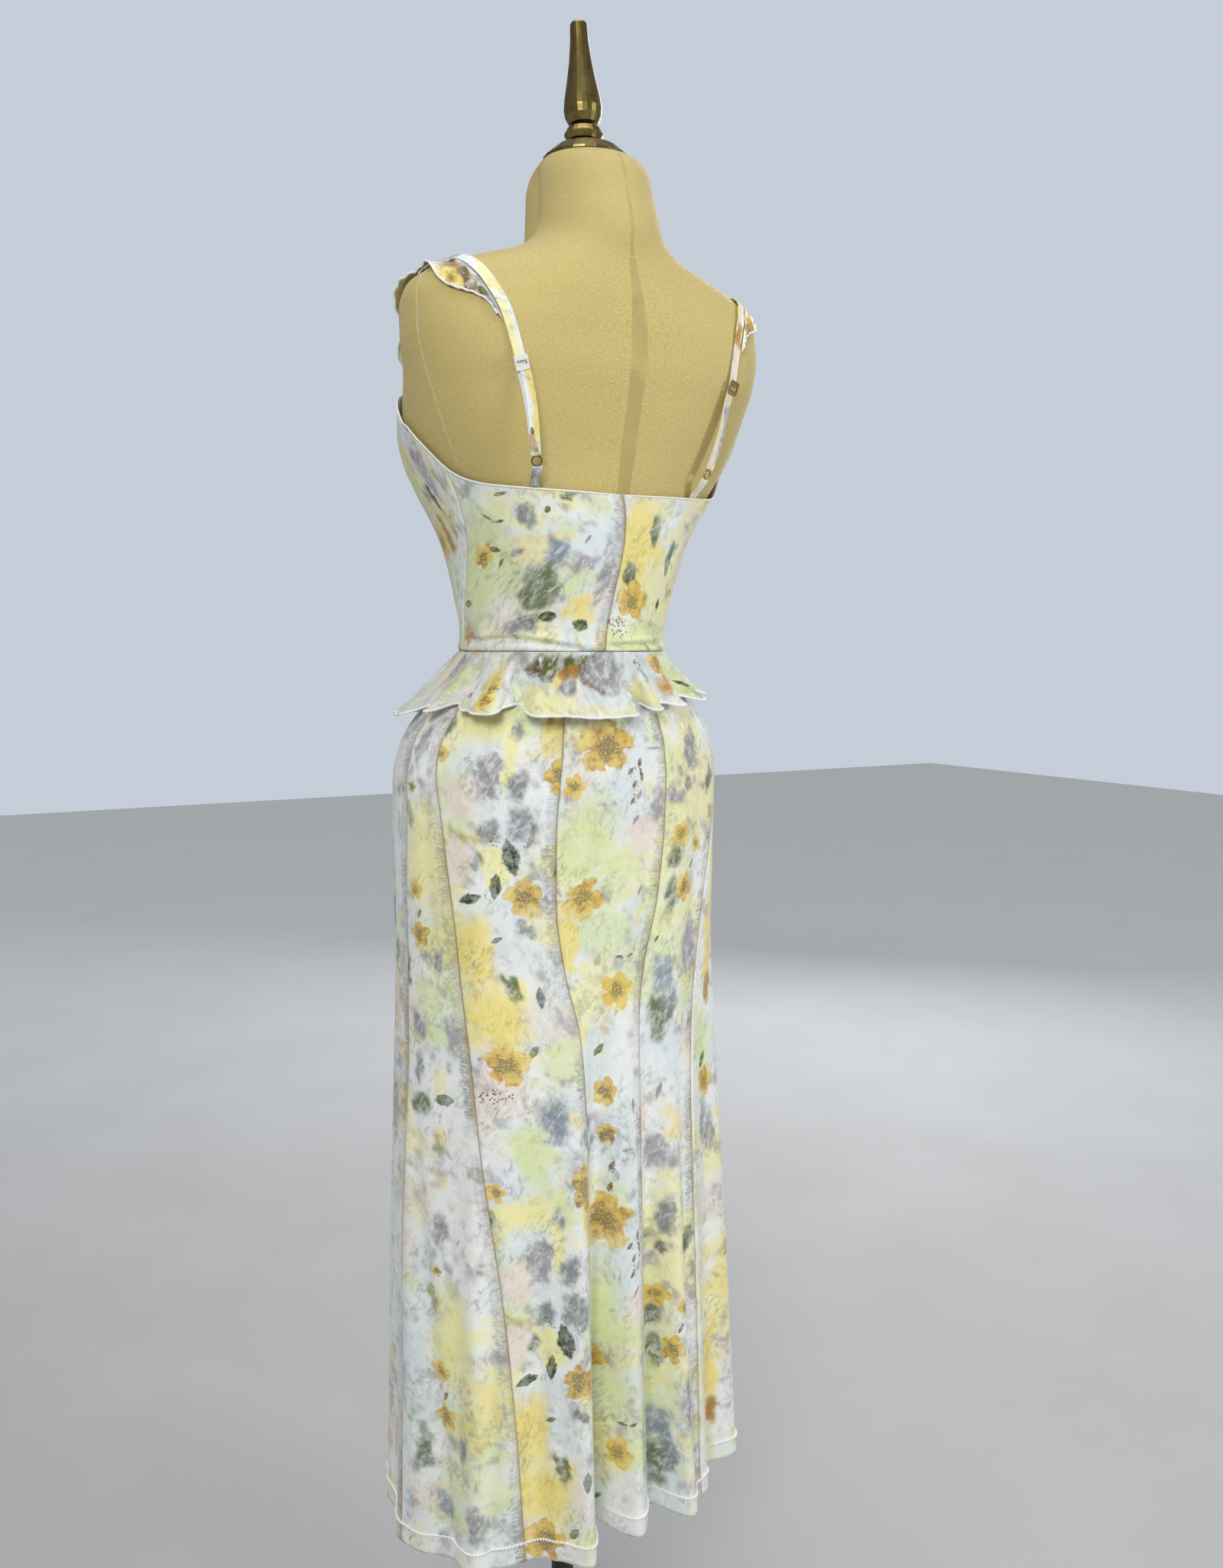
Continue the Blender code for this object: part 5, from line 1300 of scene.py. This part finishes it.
# ---------------------------------------------------------------- the bodice
def bodice_relief(angle, height):
    """Drag lines of the bodice, and the puffed band just above the waist seam."""
    puffed = 0.0020 * bell(height - 0.005, 0.0040)
    return creases(angle, height, BODICE_CREASES, BODICE_RADIUS) + puffed


BODICE_UP, BODICE_ACROSS = 86, 90


def dress_bodice():
    """Two back and two front pieces, with their drag lines, topstitching and edge."""
    pieces = (
        ("bodice_back_left", ("centre", 0), ("left", 0), BODICE_BACK_LEFT, 41),
        ("bodice_front_left", ("left", 0), (None, 180), BODICE_FRONT, 47),
        ("bodice_front_right", (None, 180), ("right", 360), BODICE_FRONT, 53),
        ("bodice_back_right", ("right", 360), ("centre", 360), BODICE_BACK_RIGHT, 59),
    )
    for name, begin, end, chart, seed in pieces:
        share = np.linspace(0, 1, int(BODICE_ACROSS / FINE) + 1)[:, None]
        up = np.linspace(0, 1, int(BODICE_UP / FINE) + 1)[None]
        # angle and height depend on each other, so each is found from the other by turns
        height = 0.16 * up + 0 * share
        for _ in range(8):
            low, high = bodice_seam(begin, height), bodice_seam(end, height)
            low = low + gap_angle(bodice_face, low, height)
            high = high - gap_angle(bodice_face, high, height)
            angle = low + (high - low) * share
            height = SEAM_GAP / 2 + (top_edge(angle) - SEAM_GAP / 2) * up
        plain = bodice_face(angle, height)
        u = arc_widths(plain)
        to_seam = np.minimum(u - u[0], u[-1] - u)
        out = bodice_relief(angle, height) - 0.0006 * bell(to_seam, 0.0014)
        grid = plain + out[..., None] * grid_normals(plain)
        across = arc_widths(plain * np.array([1, 1, 0]))
        flat = np.stack([across.ravel() + 0.17 * seed, -height.ravel()], 1)
        beside = (u - u[0]).ravel() if name == "bodice_back_left" else None
        fields = print_fields(across.ravel(), -height.ravel(), chart, seed, 0, 0.0, beside)
        made = thin_sheet("cloth_" + name, grid, CLOTH_FINISH, fields, flat)
        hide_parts(name)
    angle = np.linspace(2, 358, 1200)
    for word, below in (("fold", 0.0008), ("stitches", 0.0062)):
        height = top_edge(angle) - below
        normals = outward(bodice_face, angle, height)
        out = bodice_relief(angle, height) + 0.0001
        path = bodice_face(angle, height) + out[:, None] * normals
        if word == "fold":
            # the fold's roundness is real, and its white finish is a painted highlight along the
            # self-fabric edge
            made = round_cord("top_edge_fold", path, 0.0009, WHITE_THREAD)
        else:
            made = stitch_row("top_edge_stitches", path, normals, WHITE_THREAD)


dress_bodice()


# ---------------------------------------------------------------- the waist ruffle
PEPLUM_DEPTH = 0.058
PEPLUM_UP, PEPLUM_ACROSS = 28, 420
# How strong its creases are, and the painted shade that darkens its ground against the skirt's, to
# tone down the light it takes from above
PEPLUM_CREASED, PEPLUM_PAINTED_SHADE = 1.7, 0.86


def peplum_relief(angle, rise):
    """Small gathers that fade down from the seam, and a ripple that grows at the stretched hem."""
    down = -rise
    gathers = np.sin(np.radians(angle) * 41 + 1.3 * np.sin(np.radians(angle) * 7))
    ripple = np.sin(np.radians(angle) * 67 + 2.1 * np.sin(np.radians(angle) * 5))
    fine = 0.0009 * gathers * step(down, 0.75, 0.05) * step(down, -0.01, 0.12)
    fine = fine + 0.0011 * ripple * down**5
    fuller = 0.0060 * np.maximum(eased(angle, PEPLUM_WAVES), 0) ** 0.7 * down**1.3
    rows = [(a, PEPLUM_DEPTH * b, c, PEPLUM_DEPTH * d, width, out)
            for a, b, c, d, width, out in PEPLUM_CREASES]
    folds = PEPLUM_CREASED * creases(angle, PEPLUM_DEPTH * rise, rows, PEPLUM_RADIUS)
    return fine + fuller + folds * step(down, 0.0, 0.10)


def dress_peplum():
    """Back and front ruffle with gathers at the seam and a white rolled edge along the hem."""
    for name, begin, end, seed in (("peplum_back", -88, 88, 71), ("peplum_front", 88, 272, 79)):
        share = np.linspace(0, 1, int(PEPLUM_ACROSS / FINE) + 1)[:, None]
        rise = np.linspace(-1, 0, int(PEPLUM_UP / FINE) + 1)[None]
        low = begin + gap_angle(peplum_face, begin, rise)
        high = end - gap_angle(peplum_face, end, rise)
        angle = low + (high - low) * share
        rise = rise + 0 * angle
        plain = peplum_face(angle, rise)
        level = unit(grid_normals(plain) * np.array([1, 1, -0.15]))
        grid = plain + peplum_relief(angle, rise)[..., None] * level
        # for the print one degree counts as 2 mm, which leaves out the waves
        u = (angle - (begin + end) / 2) / 100 * 0.2
        v = -rise * PEPLUM_DEPTH
        flat = np.stack([arc_widths(plain).ravel() + 0.7 * seed, v.ravel()], 1)
        fields = print_fields(u.ravel(), v.ravel(), PEPLUM_PRINT, seed, 0)
        # painted shade: the ground of the ruffle's print is darkened to tone down its light from
        # above
        fields["wash"][:, :3] *= PEPLUM_PAINTED_SHADE
        made = thin_sheet("cloth_" + name, grid, CLOTH_FINISH, fields, flat)
        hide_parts(name)
        path = grid[:, 0] + np.array([0, 0, 0.0002])
        roll = round_cord("rolled_hem_" + name, path, 0.0013, WHITE_THREAD, 8)


dress_peplum()


# ---------------------------------------------------------------- straps and shoulder ruffles
# The strap's profile: places across its half width, and heights there as a share of CLOTH
BAND_ACROSS = (-1.0, -0.93, -0.80, -0.66, -0.3, 0.0, 0.3, 0.66, 0.80, 0.93, 1.0)
BAND_RAISED = (-0.35, 0.10, 0.28, 0.0, 0.05, 0.08, 0.05, 0.0, 0.28, 0.10, -0.35)
BAND_STEP = 0.0022
BAND_THICK = 0.0009


def strap_band(name, side, begin, end, thickness, lift, width, seed, aside=(0.0, 0.0)):
    """A band along the strap's line: a flat middle with slightly raised bound edges."""
    count = max(8, int((end - begin) / BAND_STEP))
    across = np.array(BAND_ACROSS)
    raised_edge = np.array(BAND_RAISED) * CLOTH
    points, ahead, facing, _ = along_strap(side, np.linspace(begin, end, count), lift + thickness)
    sideways = np.cross(facing, ahead)
    slide = np.linspace(aside[0], aside[1], count)[:, None] * sideways
    grid = (points + slide)[None] + (across * width / 2)[:, None, None] * sideways[None]
    grid = grid + raised_edge[:, None, None] * facing[None]
    along = np.linspace(begin, end, count)
    u = np.repeat(across * width / 2, count)
    v = np.tile(along, len(across))
    fields = print_fields(u * side, v, STRAP_PRINT_LEFT if side > 0 else STRAP_PRINT_RIGHT, seed, 0)
    flat = np.stack([u + seed, v], 1)
    made = thin_sheet(name, grid, CLOTH_FINISH, fields, flat, thickness)
    recalculated(made)
    return made


def dress_ruffle(name, side, total, seed):
    """Shoulder ruffle: from the strap's outer edge to its own, puffed and waved, with its roll."""
    count, rows = int(150 / FINE), int(22 / FINE) + 1
    share = np.linspace(0, 1, count)
    distances = RUFFLE_FROM + (total - RUFFLE_SHORT - RUFFLE_FROM) * share
    points, ahead, facing, _ = along_strap(side, distances, STRAP_LIFT + CLOTH)
    aside = np.cross(facing, ahead) * side
    inner = points + (STRAP_WIDTH / 2 + 3.5 * SEAM_GAP) * aside
    outer = np.stack([read(RUFFLE_EDGE, RUFFLE_ROWS, key, share) for key in RUFFLE_EDGE[1:]], 1)
    outer[:, 0] *= side
    over = unit(np.cross(ahead, outer - inner) * side)
    wave = RUFFLE_WAVE * np.sin(2 * np.pi * RUFFLE_WAVES * share)
    wave = wave * step(share, 0.3, 0.7) * step(1 - share, 0, 0.1)
    v = np.linspace(0, 1, rows)[:, None]
    sway = v * (1 - v) * RUFFLE_PUFF + v**2 * wave[None]
    gathers = 0.0006 * np.sin(share * 95 + 1.5 * np.sin(share * 17))[None]
    gathers = gathers * step(v, 0.8, 0.1) * step(v, 0, 0.1)
    ripple = 0.0008 * np.sin(share * 120 + 2 * np.sin(share * 11))[None] * v**5
    out = sway + gathers + ripple
    grid = inner[None] + v[..., None] * (outer - inner)[None] + out[..., None] * over[None]
    grid = grid if side > 0 else grid[::-1]
    depth = np.linalg.norm(outer - inner, axis=1)
    u = (v * depth[None]).ravel() if side > 0 else (v[::-1] * depth[None]).ravel()
    along = np.tile(distances - RUFFLE_FROM, rows)
    fields = print_fields(u, along, RUFFLE_PRINT_LEFT if side > 0 else RUFFLE_PRINT_RIGHT, seed, 0)
    made = thin_sheet("cloth_" + name, grid, CLOTH_FINISH, fields, np.stack([u + seed, along], 1))
    recalculated(made)
    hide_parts(name)
    edge = grid[-1] if side > 0 else grid[0]
    roll = round_cord("rolled_edge_" + name, edge, 0.0010, WHITE_THREAD, 8)


def dress_straps():
    """Tab, doubled lower strap and single upper strap on each side, then the ruffles."""
    for side, word in ((1, "left"), (-1, "right")):
        total = along_strap(side, np.array([0.0, 0.1]))[3]
        ring_half = RING_RADIUS + RING_WIRE + 2 * SEAM_GAP
        seed = 91 if side > 0 else 97
        tab = strap_band("cloth_strap_tab_" + word, side, 0.0, RING_PLACE - ring_half + 0.001,
                         STRAP_DOUBLE * 0.8, STRAP_LIFT, STRAP_WIDTH, seed)
        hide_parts("strap_tab_" + word)
        looped = RING_PLACE + ring_half - 0.001
        lower = strap_band("cloth_strap_lower_" + word, side, looped, SLIDER_PLACE - SEAM_GAP / 2,
                           BAND_THICK, STRAP_LIFT, STRAP_WIDTH * 0.96, seed + 1,
                           (0.0, 0.0014 * side))
        second = strap_band("cloth_strap_return_" + word, side, looped, SLIDER_PLACE - 0.004,
                            BAND_THICK, STRAP_LIFT + 0.0014, STRAP_WIDTH * 0.96, seed + 2,
                            (0.0, -0.0016 * side))
        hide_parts("strap_lower_" + word)
        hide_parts("strap_lower_" + word)
        upper = strap_band("cloth_strap_upper_" + word, side, SLIDER_PLACE + SEAM_GAP / 2, total,
                           BAND_THICK, STRAP_LIFT, STRAP_WIDTH, seed + 3)
        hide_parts("strap_upper_" + word)
        dress_ruffle("shoulder_ruffle_" + word, side, total, seed + 10)


dress_straps()


# ---------------------------------------------------------------- the form and its metal
def smooth_torso():
    """The form's cover: its own sections on a fine grid, closed by a flat face below and above.

    Bells round it hollow the spine and the fold in front of the neck, and raise the blades.
    """
    sides = int(168 / FINE)
    heights = np.concatenate([np.linspace(-0.300, 0.330, int(110 / FINE)),
                              np.linspace(0.334, NECK_TOP, int(70 / FINE))])
    angle = np.arange(sides)[:, None] * 360 / sides
    height = heights[None] + 0 * angle
    grid = form_face(angle, height)
    aside = (angle + 180) % 360 - 180
    spine, blades, fold = (
        bell(turned, width) * step(height, low, low_full) * step(height, high, high_full)
        for turned, width, low, low_full, high, high_full in (
            (aside - 9, 13, 0.120, 0.200, 0.350, 0.290),
            (np.abs(aside - 4) - 34, 16, 0.170, 0.240, 0.340, 0.280),
            (np.abs(aside) - 88, 4, 0.365, 0.400, 0.478, 0.468),
        )
    )
    out = 0.0014 * blades - 0.0095 * spine - 0.0070 * fold
    grid = grid + out[..., None] * outward(form_face, angle, height)
    rows = len(heights)
    caps = [[i * rows for i in range(sides)], [i * rows + rows - 1 for i in range(sides)][::-1]]
    flat = np.stack([np.radians(angle) * COVER_RADIUS + 0 * height, height], -1)
    made = mesh_piece("form_torso_cover", grid.reshape(-1, 3), grid_quads(sides, rows, True),
                      FORM_FINISH, caps, None, flat.reshape(-1, 2))
    made.data.set_sharp_from_angle(angle=1.0)
    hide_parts("form_torso")


# Arm seam of the form, down from the shoulder. Columns: height, x on the wearer's left, y
ARM_SEAM_ROWS = (
    (0.350, 0.1735, 0.080), (0.336, 0.1815, 0.083), (0.319, 0.1858, 0.0845),
    (0.295, 0.1852, 0.0856), (0.265, 0.1795, 0.0865), (0.241, 0.1722, 0.0879),
    (0.218, 0.1645, 0.0868), (0.198, 0.1556, 0.0846), (0.175, 0.1446, 0.0793),
)


def arm_seams():
    """The fine raised seam where each arm was closed off, laid on the form's own face."""
    rows = np.array(ARM_SEAM_ROWS)
    heights = np.linspace(0.175, 0.350, 90)
    for side, word in ((1, "left"), (-1, "right")):
        x = smooth(heights, rows[::-1, 0], rows[::-1, 1])
        y = smooth(heights, rows[::-1, 0], rows[::-1, 2])
        sweep = np.linspace(0, 120, 600)
        face = form_face(sweep[:, None], heights[None] + 0 * sweep[:, None])
        miss = np.hypot(face[..., 0] - x[None], face[..., 1] - y[None])
        angle = sweep[np.argmin(miss, axis=0)]
        angle = np.convolve(np.pad(angle, 4, "edge"), np.ones(9) / 9, "valid") * side
        path = form_face(angle, heights) + 0.0001 * outward(form_face, angle, heights)
        made = round_cord("form_arm_seam_" + word, path, 0.00055, SEAM_FINISH)


smooth_torso()
arm_seams()

FINISHES = {
    "form_neck_cap": BRASS_FINISH, "form_collar_ring": BRASS_FINISH, "form_finial": BRASS_FINISH,
    "form_pole": STEEL_FINISH, "form_base": STEEL_FINISH, "slider_left": WHITE_FINISH,
    "slider_right": GOLD_FINISH, "ring_left": BRONZE_FINISH, "ring_right": GOLD_FINISH,
}
for node, finish in FINISHES.items():
    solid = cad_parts[node]
    for place in solid.material_slots:
        place.material = finish


# ---------------------------------------------------------------- floor, light and camera
# Where the photo was taken from: degrees from the centre back towards the wearer's left, degrees
# looking down, metres behind the form and to the camera's right of it, lens and sensor in mm
PHOTO_TURN, PHOTO_PITCH = 29, 6
EYE_BEHIND, EYE_ASIDE = 1.36, 0.0569
LENS, SENSOR = 28.947, 36
# Lamps: name, metres towards the camera, to its right and up, then size and power
LAMPS = (
    ("key", 2.6, -0.35, 2.3, 0.8, 38), ("side", 0.9, 2.4, 1.7, 0.6, 24),
    ("top", 0.3, 0.0, 3.7, 1.6, 8), ("front", -2.8, 0.6, 2.2, 2.0, 60),
)
LAMPS_AIM = (0, 0, 1.1)


def laid_floor():
    """A plain pale floor with painted light and shade: darker round the form, lighter farther off
    where the lamps reach it less.
    """
    mesh = bpy.data.meshes.new("floor")
    mesh.from_pydata([(-9, -9, 0), (9, -9, 0), (9, 9, 0), (-9, 9, 0)], [], [(0, 1, 2, 3)])
    p = Paint("pale_floor")
    place = p.place()
    x, y, _ = p.parts(place)
    away = p.math("POWER", p.squares(x, y), 0.5)
    mottled = p.between(p.noise(place, 3, 3), 0.3, 0.7, -0.04, 0.04)
    # painted light and shade: darker near the form and lighter with distance, where the lamps light
    # the floor less; the mottling is the floor's own
    tone = p.math("ADD", p.between(away, 0.8, 4.5), mottled)
    p.done(p.blend(tone, (0.38, 0.385, 0.395, 1), (0.66, 0.69, 0.72, 1)), 0.75)
    mesh.materials.append(p.made)
    in_scene("floor", mesh)


def studio():
    """The floor, a pale blue backdrop, lamps from the camera's side and above, and the camera."""
    laid_floor()
    bpy.context.scene.view_settings.view_transform = "Standard"
    world = bpy.data.worlds.new("studio")
    world.use_nodes = True
    tree = world.node_tree
    seen = tree.nodes.new("ShaderNodeBackground")
    seen.inputs[0].default_value = (0.56, 0.62, 0.69, 1)
    lit = tree.nodes["Background"]
    lit.inputs[0].default_value = (0.97, 0.99, 1.0, 1)
    lit.inputs[1].default_value = 0.20
    either = tree.nodes.new("ShaderNodeMixShader")
    tree.links.new(tree.nodes.new("ShaderNodeLightPath").outputs["Is Camera Ray"], either.inputs[0])
    tree.links.new(lit.outputs[0], either.inputs[1])
    tree.links.new(seen.outputs[0], either.inputs[2])
    tree.links.new(either.outputs[0], tree.nodes["World Output"].inputs[0])
    bpy.context.scene.world = world
    turn, pitch = np.radians(PHOTO_TURN), np.radians(PHOTO_PITCH)
    behind = np.array([np.sin(turn), np.cos(turn), 0])
    aside = np.array([-np.cos(turn), np.sin(turn), 0])
    for name, back, right, up, size, power in LAMPS:
        light = bpy.data.lights.new(name, "AREA")
        light.size = size
        light.energy = power
        place = back * behind + right * aside + np.array([0, 0, up])
        looking_at(in_scene(name, light), place, np.array(LAMPS_AIM))
    sky = bpy.data.lights.new("sky", "SUN")
    sky.energy = 1.15
    sky.angle = 1.0
    looking_at(in_scene("sky", sky), np.array([0.4, 0.6, 5.0]), np.zeros(3))
    ahead = -np.cos(pitch) * behind - np.array([0, 0, np.sin(pitch)])
    eye = EYE_BEHIND * behind + EYE_ASIDE * aside + np.array([0, 0, WAIST_HEIGHT])
    data = bpy.data.cameras.new("camera")
    data.lens = LENS
    data.sensor_width = SENSOR
    camera = in_scene("camera", data)
    placed_by(camera, aside, np.cross(aside, ahead), -ahead, eye)
    bpy.context.scene.camera = camera


def placed_by(thing, x, y, z, place):
    """Places an object by its three axes and its origin."""
    rows = np.eye(4)
    rows[:3, 0], rows[:3, 1], rows[:3, 2], rows[:3, 3] = x, y, z, place
    thing.matrix_world = Matrix(rows.tolist())


def looking_at(lamp, place, target):
    """Turns a lamp so that it shines at a point."""
    back = unit(place - target)
    across = unit(np.cross(np.array([0, 0, 1.0]), back) + np.array([1e-6, 0, 0]))
    placed_by(lamp, across, np.cross(back, across), back, place)


studio()
